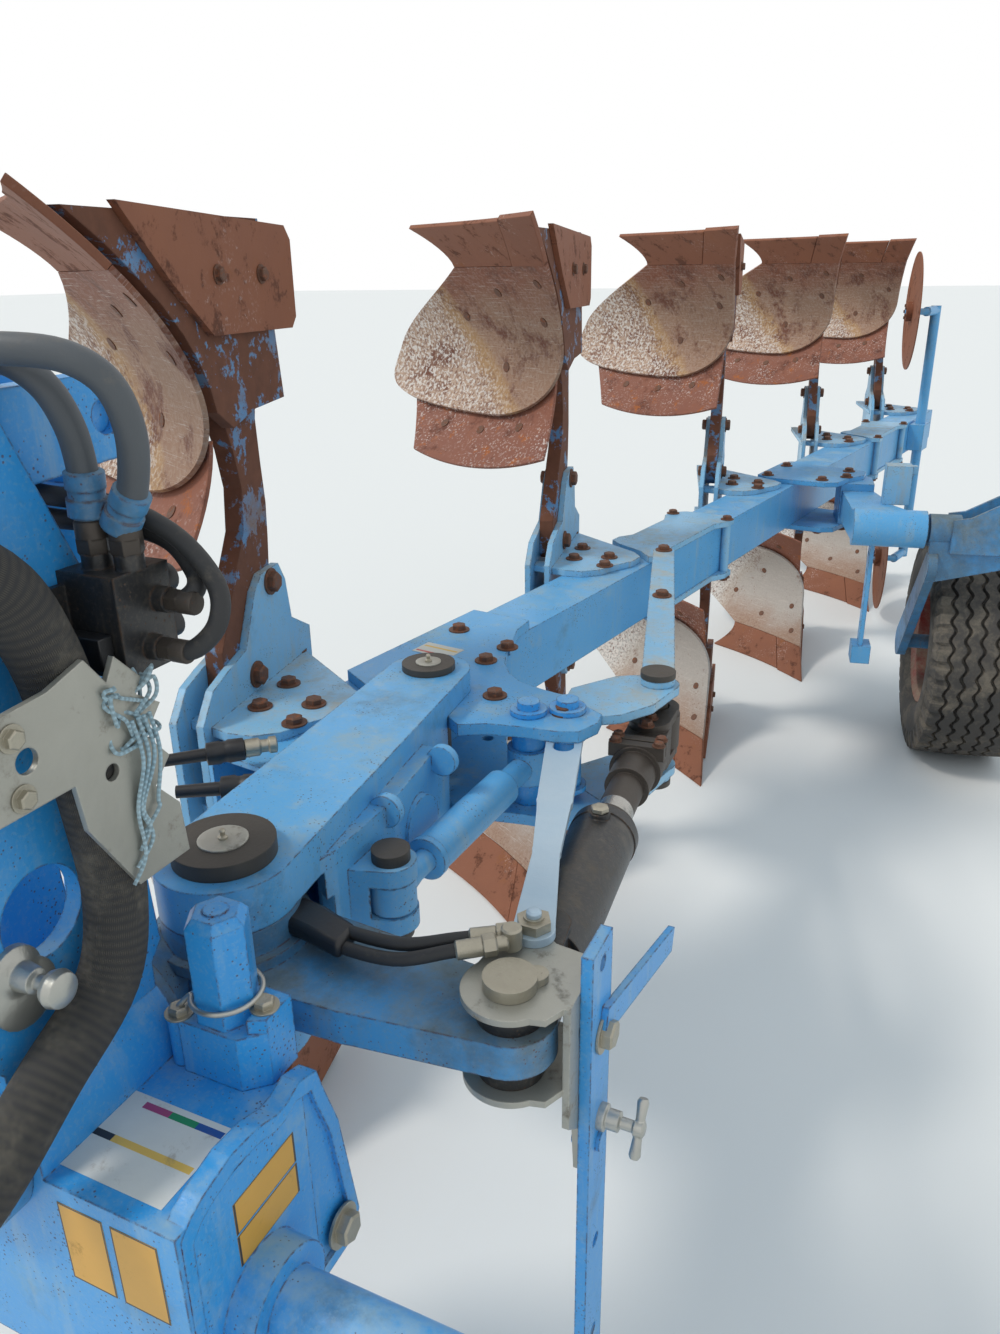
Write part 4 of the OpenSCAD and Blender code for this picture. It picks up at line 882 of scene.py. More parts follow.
class Maker:
    """Gathers closed shapes of one finish and one body into one piece."""

    def __init__(self, name: str) -> None:
        """Starts an empty piece.

        Args:
            name: The piece's name.
        """
        self.name = name
        self.points: list[Vector] = []
        self.faces: list[list[int]] = []
        self.coords: list[list[Point]] = []

    def add(self, points: Sequence[Vector], faces: Sequence[Sequence[int]],
            coords: Sequence[Sequence[Point]] | None = None) -> None:
        """Adds a shape: its points, its faces, and each face's map corners where it has them.

        Args:
            points: Its points in metres.
            faces: The point numbers of each face.
            coords: Each face's map corners, or nothing.
        """
        start = len(self.points)
        self.points += [Vector(p) for p in points]
        self.faces += [[start + k for k in f] for f in faces]
        self.coords += [list(c) for c in coords] if coords else [[(0.0, 0.0)] * len(f) for f in faces]

    def turned(self, profile: Sequence[Point], at: Vector, axis: Vector, sides: int = 28) -> None:
        """Adds a turned shape that closes on its axis at both ends.

        Args:
            profile: Radius and place along the axis of each ring, in millimetres.
            at: Where the axis starts, in metres.
            axis: The axis' direction.
            sides: Number of faces round it; six gives a hexagon.
        """
        turn = UP.rotation_difference(axis.normalized()).to_matrix()
        points = []
        for radius, along in profile:
            for k in range(sides):
                a = 2 * math.pi * k / sides
                points.append(at + turn @ mm(radius * math.cos(a), radius * math.sin(a), along))
        faces = [list(range(sides))[::-1]]
        for j in range(len(profile) - 1):
            for k in range(sides):
                n = (k + 1) % sides
                faces.append([j * sides + k, j * sides + n, (j + 1) * sides + n, (j + 1) * sides + k])
        faces.append([(len(profile) - 1) * sides + k for k in range(sides)])
        self.add(points, faces)

    def prism(self, outline: Sequence[Point], at: Vector, right: Vector, up: Vector, depth: float) -> None:
        """Adds a flat outline, in millimetres, pushed out along right x up.

        Args:
            outline: Corners to the right of and above the starting point.
            at: The starting point in metres.
            right: Direction of the outline's first number.
            up: Direction of its second number.
            depth: Thickness in millimetres.
        """
        out = right.cross(up).normalized()
        flat = [at + (right * x + up * y) * 0.001 for x, y in outline]
        n = len(flat)
        wide = max(x for x, _ in outline) - min(x for x, _ in outline)
        high = max(y for _, y in outline) - min(y for _, y in outline)
        left, low = min(x for x, _ in outline), min(y for _, y in outline)
        plan = [((x - left) / wide, (y - low) / high) for x, y in outline]
        faces = [list(range(n))[::-1], [n + k for k in range(n)]]
        coords = [plan[::-1], plan]
        for k in range(n):
            m = (k + 1) % n
            faces.append([k, m, n + m, n + k])
            coords.append([plan[k], plan[m], plan[m], plan[k]])
        self.add(flat + [p + out * depth * 0.001 for p in flat], faces, coords)

    def blank(self, width: float, height: float, at: Vector, right: Vector, up: Vector,
              depth: float = 0.5) -> None:
        """Adds a rectangular plate with its lower left corner at a point, its sizes in millimetres."""
        self.prism([(0, 0), (width, 0), (width, height), (0, height)], at, right, up, depth)

    def tube(self, path: Sequence[Vector], radius: float, sides: int) -> None:
        """Adds a closed round tube along a path, mapped along it in metres and round it.

        Args:
            path: Its middle line in metres.
            radius: Its radius in millimetres.
            sides: Number of faces round it.
        """
        rings: list[Vector] = []
        side = Vector((0.21, 0.33, 1.0))
        length = 0.0
        runs = []
        for i, p in enumerate(path):
            along = (path[min(i + 1, len(path) - 1)] - path[max(i - 1, 0)]).normalized()
            side = (side - along * side.dot(along)).normalized()
            other = along.cross(side)
            if i:
                length += (p - path[i - 1]).length
            runs.append(length)
            for k in range(sides):
                a = 2 * math.pi * k / sides
                rings.append(p + (side * math.cos(a) + other * math.sin(a)) * (radius * 0.001))
        faces = [list(range(sides))[::-1], [(len(path) - 1) * sides + k for k in range(sides)]]
        coords = [[(0.0, 0.0)] * sides, [(0.0, 0.0)] * sides]
        for j in range(len(path) - 1):
            for k in range(sides):
                n = (k + 1) % sides
                faces.append([j * sides + k, j * sides + n, (j + 1) * sides + n, (j + 1) * sides + k])
                u0, u1 = k / sides, (k + 1) / sides
                coords.append([(u0, runs[j]), (u1, runs[j]), (u1, runs[j + 1]), (u0, runs[j + 1])])
        self.add(rings, faces, coords)

    def piece(self, body: Body, finish: Finish, smooth: float = 35, bevel: float = 0.0) -> bpy.types.Object:
        """Makes the piece's object, faces outward, and lets it ride.

        Args:
            body: The body it moves with.
            finish: Its finish.
            smooth: Faces that meet under this angle look round, in degrees.
            bevel: Width of the rounded edges in millimetres.

        Returns:
            The object.
        """
        data = bpy.data.meshes.new(self.name)
        data.from_pydata(self.points, [], self.faces)
        layer = data.uv_layers.new(name="surface_map")
        flat = [c for face in self.coords for c in face]
        for corner, value in zip(layer.data, flat):
            corner.uv = value[:2]
        face_outward(data)
        return settle(self.name, data, body, finish, smooth, bevel)


def face_outward(data: bpy.types.Mesh) -> None:
    """Turns a closed mesh's faces outwards.

    Args:
        data: The mesh, changed in place.
    """
    work = bmesh.new()
    work.from_mesh(data)
    bmesh.ops.recalc_face_normals(work, faces=work.faces)
    work.to_mesh(data)
    work.free()


def settle(name: str, data: bpy.types.Mesh, body: Body, finish: Finish, smooth: float,
           bevel: float = 0.0) -> bpy.types.Object:
    """Puts a finished mesh in the scene on its body, and reports it.

    Args:
        name: The piece's name.
        data: Its mesh, in place.
        body: The body it moves with.
        finish: Its finish.
        smooth: Angle in degrees under which faces look round.
        bevel: Width of the rounded edges in millimetres.

    Returns:
        The object.
    """
    data.materials.clear()
    data.materials.append(dress(finish))
    data.shade_smooth()
    data.set_sharp_from_angle(angle=math.radians(smooth))
    made = bpy.data.objects.new(name, data)
    bpy.context.scene.collection.objects.link(made)
    if bevel:
        round_off = made.modifiers.new("rounded_edges", "BEVEL")
        round_off.width = bevel * 0.001
        round_off.segments = 2
        round_off.limit_method = "ANGLE"
    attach(made, body.value)
    log.info("%s: %d faces on %s", name, len(data.polygons), body.value)
    return made


def smoothed(route: Sequence[Point], steps: int = 8) -> list[Vector]:
    """A smooth line through the route's points.

    Args:
        route: Points in millimetres.
        steps: Parts between two points.

    Returns:
        The line's points in metres.
    """
    p = [mm(*q) for q in route]
    last = len(p) - 1
    line = []
    for i in range(last):
        a, b, c, d = p[max(i - 1, 0)], p[i], p[i + 1], p[min(i + 2, last)]
        for k in range(steps):
            t = k / steps
            line.append(0.5 * (2 * b + (c - a) * t + (2 * a - 5 * b + 4 * c - d) * t * t
                               + (3 * b - a - 3 * c + d) * t ** 3))
    return line + [p[last]]


class Tree(Graph):
    """A geometry node tree with named inputs, run once on a mesh and turned into a plain piece."""

    def __init__(self, name: str, inputs: dict[str, str]) -> None:
        """Opens the tree.

        Args:
            name: The tree's name.
            inputs: Socket type for each named input.
        """
        super().__init__(bpy.data.node_groups.new(name, "GeometryNodeTree"))
        self.tree.interface.new_socket("Geometry", in_out="INPUT", socket_type="NodeSocketGeometry")
        for label, kind in inputs.items():
            self.tree.interface.new_socket(label, in_out="INPUT", socket_type=kind)
        self.tree.interface.new_socket("Geometry", in_out="OUTPUT", socket_type="NodeSocketGeometry")
        self.given = self.node("NodeGroupInput")
        self.out = self.node("NodeGroupOutput")

    def close(self, instances: bpy.types.NodeSocket, merge: float = 0.0) -> None:
        """Ends the tree: instances made real, then the material set.

        Args:
            instances: The output that holds the instances.
            merge: Distance in metres under which points become one, or 0.
        """
        real = self.node("GeometryNodeRealizeInstances")
        self.put(real.inputs[0], instances)
        last = real.outputs[0]
        if merge:
            weld = self.node("GeometryNodeMergeByDistance")
            self.put(weld.inputs["Geometry"], last)
            weld.inputs["Distance"].default_value = merge
            last = weld.outputs[0]
        dress = self.node("GeometryNodeSetMaterial")
        self.put(dress.inputs["Geometry"], last)
        self.put(dress.inputs["Material"], self.given.outputs["Finish"])
        self.put(self.out.inputs[0], dress.outputs[0])

    def run(self, source: bpy.types.Mesh, values: dict[str, object], name: str) -> bpy.types.Mesh:
        """Runs the tree on a mesh and removes the object that carried it.

        Args:
            source: The mesh it starts from.
            values: A value for each named input.
            name: Name of the resulting mesh.

        Returns:
            The plain mesh.
        """
        carrier = bpy.data.objects.new(name, source)
        bpy.context.scene.collection.objects.link(carrier)
        modifier = carrier.modifiers.new("repeat", "NODES")
        modifier.node_group = self.tree
        sockets = self.tree.interface.items_tree
        keys = {item.name: item.identifier for item in sockets if item.in_out == "INPUT"}
        for label, value in values.items():
            modifier[keys[label]] = value
        evaluated = carrier.evaluated_get(bpy.context.evaluated_depsgraph_get())
        data = bpy.data.meshes.new_from_object(evaluated)
        data.name = name
        carrier.modifiers.clear()
        bpy.data.objects.remove(carrier)
        return data


@dataclass(frozen=True)
class Bolt:
    """Where a hexagon head sits, which way it points, and half its width across corners in millimetres."""

    at: Vector
    axis: Vector
    size: float = 17.0


class BoltSet:
    """All the hexagon heads of one body and finish, set by one geometry node tree."""

    tree: Tree | None = None

    @classmethod
    def build(cls) -> Tree:
        """The tree: a washer, a head and its chamfer at every point, turned to the point's axis.

        Returns:
            The tree.
        """
        if cls.tree:
            return cls.tree
        g = Tree("hexagon_heads", {"Finish": "NodeSocketMaterial", "Head Height": NUMBER,
                                   "Washer Width": NUMBER})
        shapes = g.node("GeometryNodeJoinGeometry")
        for sides, top, bottom, depth, lift in ((22, 1.0, 1.0, 0.16, 0.0), (6, 0.86, 0.86, 0.5, 0.16),
                                                (6, 0.70, 0.86, 0.12, 0.66)):
            cone = g.node("GeometryNodeMeshCone")
            cone.inputs["Vertices"].default_value = sides
            if lift:
                cone.inputs["Radius Top"].default_value = top
                cone.inputs["Radius Bottom"].default_value = bottom
                g.put(cone.inputs["Depth"], g.math("MULTIPLY", g.given.outputs["Head Height"], depth))
            else:
                g.put(cone.inputs["Radius Top"], g.given.outputs["Washer Width"])
                g.put(cone.inputs["Radius Bottom"], g.given.outputs["Washer Width"])
                cone.inputs["Depth"].default_value = depth
            shift = g.node("GeometryNodeTransform")
            place = g.node("ShaderNodeCombineXYZ")
            g.put(place.inputs["Z"], g.math("MULTIPLY", g.given.outputs["Head Height"], lift))
            g.put(shift.inputs["Geometry"], cone.outputs["Mesh"])
            g.put(shift.inputs["Translation"], place.outputs[0])
            g.put(shapes.inputs[0], shift.outputs[0])
        axis = g.node("GeometryNodeInputNamedAttribute", data_type="FLOAT_VECTOR")
        axis.inputs["Name"].default_value = "axis"
        size = g.node("GeometryNodeInputNamedAttribute", data_type="FLOAT")
        size.inputs["Name"].default_value = "size"
        turn = g.node("FunctionNodeAlignRotationToVector", axis="Z")
        g.put(turn.inputs["Vector"], axis.outputs["Attribute"])
        points = g.node("GeometryNodeMeshToPoints")
        g.put(points.inputs["Mesh"], g.given.outputs["Geometry"])
        spread = g.node("GeometryNodeInstanceOnPoints")
        g.put(spread.inputs["Points"], points.outputs[0])
        g.put(spread.inputs["Instance"], shapes.outputs[0])
        g.put(spread.inputs["Rotation"], turn.outputs[0])
        g.put(spread.inputs["Scale"], size.outputs["Attribute"])
        g.close(spread.outputs[0])
        cls.tree = g
        return g

    @classmethod
    def fit(cls, name: str, bolts: Sequence[Bolt], body: Body, finish: Steel, washer: float = 1.0,
            height: float = 1.0) -> bpy.types.Object:
        """Makes one piece of all the heads.

        Args:
            name: The piece's name.
            bolts: Their places.
            body: The body they ride on.
            finish: Their finish.
            washer: Width of the washers by the head's own.
            height: Height of the heads by their usual one.

        Returns:
            The object.
        """
        data = bpy.data.meshes.new(name)
        data.from_pydata([b.at for b in bolts], [], [])
        axes = [v for b in bolts for v in b.axis]
        sizes = [b.size * 0.001 for b in bolts]
        data.attributes.new("axis", "FLOAT_VECTOR", "POINT").data.foreach_set("vector", axes)
        data.attributes.new("size", "FLOAT", "POINT").data.foreach_set("value", sizes)
        values = {"Finish": dress(finish), "Head Height": height, "Washer Width": washer}
        made = cls.build().run(data, values, name)
        return settle(name, made, body, finish, 25)


# The twisted surface that mouldboards, shares and trash boards share


@dataclass(frozen=True)
class TwistedSurface:
    """Straight lines that sweep up the shin and turn outwards, in millimetres and degrees.

    The seam, point_end, corner, crest, wing_run and wing_bulge are shares of a line's length.
    """

    share_len: float = 537.0
    mould_len: float = 656.0
    share_h: float = 92.0
    mould_top: float = 445.0
    trash_h: float = 105.0
    share_t: float = 10.0
    mould_t: float = 9.0
    trash_t: float = 7.0
    trash_gap: float = 7.0
    seam: float = 0.72
    point_end: float = 0.262
    shin_cut: float = 270.0
    wing: float = 290.0
    lean: float = 45.0
    twist: float = 9.0
    twist_h: float = 375.0
    belly: float = 22.0
    shin_rise: float = 2.2
    shin_bend: float = 0.0033
    set_back: float = 2.0
    corner: float = 0.42
    crest: float = 0.45
    wing_run: float = 0.634
    wing_bulge: float = 0.364
    wing_power: float = 4.5
    trash_crown: float = 232.0
    trash_peak: float = 0.48
    trash_lap: float = 24.0

    def at(self, s: float, z: float) -> Vector:
        """The point at a share s of the line at height z.

        Args:
            s: Share of the line, from the shin.
            z: Height in millimetres.

        Returns:
            The point in millimetres.
        """
        turn = math.radians(self.lean + self.twist * z / self.twist_h)
        length = self.share_len + (self.mould_len - self.share_len) * z / self.twist_h
        belly = self.belly * math.sin(math.pi * s)
        shin = self.shin_rise * z - self.shin_bend * z * z
        return Vector((-s * length * math.sin(turn) + belly * math.cos(turn) - self.set_back,
                       shin + s * length * math.cos(turn) + belly * math.sin(turn), z))

    def normal(self, s: float, z: float) -> Vector:
        """The direction that points behind the surface."""
        along = self.at(s + 0.01, z) - self.at(s - 0.01, z)
        return along.cross(self.at(s, z + 1) - self.at(s, z - 1)).normalized()

    def mould(self, u: float, v: float) -> Point:
        """Place on the surface of a mouldboard's point across and up it.

        Args:
            u: Share across the board.
            v: Share up the board.

        Returns:
            The share s and the height z.
        """
        low = self.share_h + 0.6
        z = low + (self.mould_top - low) * math.sin(math.pi / 2 * v)
        t = min(1.0, max(0.0, (z - self.shin_cut) / (self.mould_top - self.shin_cut)))
        shin = self.corner * (1 - math.sqrt(1 - t * t))
        if z <= self.wing:
            far = self.seam + self.wing_bulge * math.sin(math.pi / 2 * (z - low) / (self.wing - low))
        else:
            t = min(1.0, (z - self.wing) / (self.mould_top - self.wing))
            far = self.crest + self.wing_run * math.sqrt(max(0.0, 1 - t ** self.wing_power))
        return shin + (far - shin) * u, z

    def share(self, u: float, v: float) -> Point:
        """Place of a share blade's point."""
        near = self.point_end + 0.006
        return near + (self.seam + 0.26 * (1 - v) ** 1.6 - near) * u, 6 + (self.share_h - 6) * v

    def tip(self, u: float, v: float) -> Point:
        """Place of a share point's point."""
        near = -0.028 * (1 - v)
        return near + (self.point_end - near) * u, 2 + (self.share_h - 2) * v

    def seam_z(self, s: float) -> float:
        """Height of the mouldboard's top edge.

        Args:
            s: Share of the line, from the shin.

        Returns:
            The height in millimetres.
        """
        if s < self.corner:
            rise = math.sqrt(max(0.0, 1 - (1 - s / self.corner) ** 2))
            return self.shin_cut + (self.mould_top - self.shin_cut) * rise
        if s < self.crest:
            return self.mould_top
        fall = max(0.0, 1 - ((s - self.crest) / self.wing_run) ** 2) ** 0.222
        return self.wing + (self.mould_top - self.wing) * fall

    def trash(self, u: float, v: float) -> Point:
        """Place of a trash board's point.

        Args:
            u: Share across the board.
            v: Share up the board.

        Returns:
            The share s and the height z.
        """
        s = 0.07 + ((0.92 - 0.16 * v) - 0.07) * u
        low = self.seam_z(s) - self.trash_lap
        top = self.mould_top + self.trash_h - self.trash_crown * (s - self.trash_peak) ** 2
        return s, low + (top - low) * v


@dataclass
class WornSheet:
    """A sheet of the twisted surface inside an outline, with smooth faces and a map along it in metres."""

    surface: TwistedSurface
    outline: Callable[[float, float], Point]
    front: float
    back: float
    across: int
    up: int
    map_len: float = 0.62

    def add_to(self, maker: Maker, i: int, side: Side) -> None:
        """Adds the closed sheet of plough body i to a piece.

        Args:
            maker: The piece that takes it.
            i: Number of the plough body.
            side: The lower or the upper set.
        """
        width = self.across + 1
        grid = [self.outline(a / self.across, b / self.up) for b in range(self.up + 1) for a in range(width)]
        points = []
        for depth in (self.front, self.back):
            for s, z in grid:
                p = self.surface.at(s, z) + self.surface.normal(s, z) * depth
                points.append(LAY.body_point(i, p, side))
        half = len(grid)
        plan = [(s * self.map_len, z * 0.001) for s, z in grid]
        faces, coords = [], []

        def quad(*corners: int) -> None:
            """One face with its map."""
            faces.append(list(corners))
            coords.append([plan[c % half] for c in corners])
        for b in range(self.up):
            for a in range(self.across):
                k = b * width + a
                quad(k, k + 1, k + width + 1, k + width)
                quad(half + k, half + k + width, half + k + width + 1, half + k + 1)
        top = self.up * width
        for a in range(self.across):
            quad(a, half + a, half + a + 1, a + 1)
            quad(top + a, top + a + 1, half + top + a + 1, half + top + a)
        for b in range(self.up):
            for k in (b * width, b * width + self.across):
                quad(k, k + width, half + k + width, half + k)
        maker.add(points, faces, coords)


# Sub-assemblies


@dataclass
class ToolBodies:
    """The five pairs of plough bodies: mouldboards, shares, trash boards, legs and their bolts."""

    surface: TwistedSurface = field(default_factory=TwistedSurface)
    face_bolts: tuple[Point, ...] = ((0.10, 130), (0.10, 215), (0.42, 150), (0.36, 330), (0.66, 210))
    trash_bolts: tuple[float, ...] = (0.24, 0.45, 0.66)
    trash_bolt_rise: float = 30.0
    leg_bolts: tuple[Point, ...] = ((445, 755), (530, 610))
    leg_face: float = 31.3
    landside_bolts: tuple[Point, ...] = ((430, 100), (570, 100))
    landside_face: float = 12.0

    def build(self) -> None:
        """Makes the worn sheets, then the finishes and the bolts."""
        self.mouldboards()
        self.shares()
        self.trash_boards()
        repaint(LEG_STEEL, *(f"leg_{i}" for i in STATIONS))
        repaint(RUST, "landsides")
        self.bolts()

    def mouldboards(self) -> None:
        """Makes a smooth mouldboard for each packed one, a piece for each body and side."""
        sheet = WornSheet(self.surface, self.surface.mould, 0, self.surface.mould_t, 36, 32)
        for i in STATIONS:
            for side, finish in ((Side.UPPER, MOULD), (Side.LOWER, MOULD_LOWER)):
                maker = Maker(f"mouldboard_{side.name.lower()}_{i}")
                sheet.add_to(maker, i, side)
                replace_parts(maker.piece(Body.FRAME, finish, 40), f"mouldboard_{i}")

    def shares(self) -> None:
        """Makes the share blades and points, a piece for each body."""
        blade = WornSheet(self.surface, self.surface.share, 0, self.surface.share_t, 24, 8)
        tip = WornSheet(self.surface, self.surface.tip, -2, self.surface.share_t, 12, 8)
        for i in STATIONS:
            maker = Maker(f"shares_{i}")
            for side in Side:
                blade.add_to(maker, i, side)
                tip.add_to(maker, i, side)
            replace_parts(maker.piece(Body.FRAME, RUST, 40, 1.2), f"share_{i}")

    def trash_boards(self) -> None:
        """Makes the boards that stand above the mouldboards."""
        start = self.surface.mould_t + self.surface.trash_gap
        board = WornSheet(self.surface, self.surface.trash, start, start + self.surface.trash_t, 30, 9)
        maker = Maker("trash_board_set")
        for i in STATIONS:
            for side in Side:
                board.add_to(maker, i, side)
        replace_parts(maker.piece(Body.FRAME, TRASH_RUST, 40, 1.0), "trash_boards")

    def bolts(self) -> None:
        """Sets flush heads in the boards' faces, and hexagon heads on legs and landsides."""
        flush, heads = [], []
        surface = self.surface

        def put(row: list[Bolt], p: Sequence[float], way: Sequence[float], size: float) -> None:
            """One head of body i and its side, by its place and direction in the body's own frame."""
            row.append(Bolt(LAY.body_point(i, p, side), LAY.body_axis(way, side), size))
        for i in STATIONS:
            for side in Side:
                for s, z in self.face_bolts:
                    put(flush, surface.at(s, z), surface.normal(s, z) * -1, 12)
                for s in self.trash_bolts:
                    z = surface.seam_z(s) + self.trash_bolt_rise
                    out = surface.normal(s, z)
                    start = surface.at(s, z) + out * (surface.mould_t + surface.trash_gap)
                    put(flush, start, out * -1, 12)
                    put(heads, start + out * surface.trash_t, out, 12)
                for y, z in self.leg_bolts:
                    put(heads, (LAY.leg_x - self.leg_face, y, z), (-1, 0, 0), 21)
                    put(heads, (LAY.leg_x + self.leg_face, y, z), (1, 0, 0), 21)
                for y, z in self.landside_bolts:
                    put(heads, (self.landside_face, y, z), (1, 0, 0), 13)
        BoltSet.fit("board_bolts", flush, Body.FRAME, BOLT_RUST, 1.0, 0.18)
        BoltSet.fit("leg_bolts", heads, Body.FRAME, BOLT_RUST, 1.15)


@dataclass
class Beam:
    """The square beam with its head plates, casting, tie, strap and the plates of the body brackets."""

    station_bolts: tuple[Point, ...] = ((-122, 464), (-91, 364), (-20, 420), (-232, 596), (6, 346))
    clamp_bolts: tuple[Point, ...] = ((-84, 955), (84, 960), (82, 510))
    clamped: tuple[int, ...] = (2, 4)
    head_bolts: tuple[Point, ...] = ((-150, 850), (-146, 770), (-40, 640), (-290, 886), (96, 640))
    strap_bolts: tuple[Point, ...] = ((-180, 1634), (-22, 1279))
    strap_t: float = 13.0
    wheel_bolts: tuple[Point, ...] = ((-310, 2788), (-310, 2990), (-120, 2790), (-84, 2990), (-62, 2880))
    rear_pivot: Point = (-153.0, 604.0)

    def build(self) -> None:
        """Dresses the nodes and adds the fasteners, couplers and the blank plate."""
        repaint(FRAME_BLUE, "casting", "head_plates", "beam", "turnbuckle")
        repaint(SANDY_BLUE, "strap", "outrigger", *(f"bracket_{i}" for i in STATIONS))
        repaint(DARK_PIN, "pivot_pins")
        repaint(AZURE, "spools")
        self.bolts()
        self.couplers()
        self.pivot_rings()
        plate = Maker("beam_plate")
        plate.blank(86, 54, LAY.beam_point(-300, 742, LAY.head_top + 0.1), LAY.beam_axis(1, 0, 0),
                    LAY.beam_axis(0, 1, 0))
        plate.piece(Body.FRAME, PALE_PLATE)

    def heads(self) -> list[tuple[float, float, float, float]]:
        """Place on the beam, height of the plate's face and size of every head on top of the plates.

        Returns:
            Two places, height and size of each head, in millimetres.
        """
        spots = []
        for i in STATIONS:
            start = LAY.beam_first + (i - 1) * LAY.pitch
            rows = [(self.station_bolts, 17)]
            if i in self.clamped:
                rows.append((self.clamp_bolts, 15))
            for row, size in rows:
                spots += [(x - LAY.beam_off, y + start, LAY.plate_top, size) for x, y in row]
        for row, top in ((self.head_bolts, LAY.head_top), (self.strap_bolts, LAY.plate_top + self.strap_t),
                         (self.wheel_bolts, LAY.plate_top)):
            spots += [(x, y, top, 17) for x, y in row]
        return spots

    def bolts(self) -> None:
        """Sets the rusty hexagon heads on top of the plates and below them."""
        rusty = []
        for way in (1, -1):
            for x, y, top, size in self.heads():
                rusty.append(Bolt(LAY.beam_point(x, y, LAY.flipped(top, way)), UP * way, size))
        BoltSet.fit("plate_bolts", rusty, Body.FRAME, BOLT_RUST, 1.25)

    def couplers(self) -> None:
        """Makes the two quick couplers that lie on the first bracket."""
        black, bright = Maker("coupler_sleeves"), Maker("coupler_ends")
        sleeve = [(9, -60), (10, 0), (17, 2), (18, 20), (16, 24), (16, 30), (18, 34), (17, 56), (12, 58)]
        end = [(11, 56), (14, 58), (14, 78), (10, 82), (10, 92), (13, 94), (13, 104), (8, 106)]
        for a, b in ((mm(-186, 492, 294), mm(-112, 562, 294)), (mm(-100, 420, 291), mm(-22, 470, 291))):
            black.turned(sleeve, a, b - a)
            bright.turned(end, a, b - a)
        black.piece(Body.FRAME, PLASTIC)
        bright.piece(Body.FRAME, BRIGHT_BOLT)

    def pivot_rings(self) -> None:
        """Makes the grease nipples and worn lock plates on the two big pins."""
        caps, nipples = Maker("pivot_lock_plates"), Maker("grease_nipples")
        rear = LAY.beam_point(*self.rear_pivot, 0)
        for way in (1, -1):
            for place, top, size in ((mm(*LAY.pivot, 0), 340.6, 30), (rear, 332.6, 22)):
                at = Vector((place.x, place.y, LAY.flipped(top, way) * 0.001))
                caps.turned([(size, -6), (size, 1.5), (size - 3, 2.5), (size - 12, 1.2), (6, 1.2)], at,
                            UP * way)
                nipples.turned([(6, 0), (6, 4), (3, 5), (3, 9), (4.4, 11), (3, 14)], at, UP * way, 12)
        caps.piece(Body.FRAME, GALVANISED)
        nipples.piece(Body.FRAME, BRIGHT_BOLT)


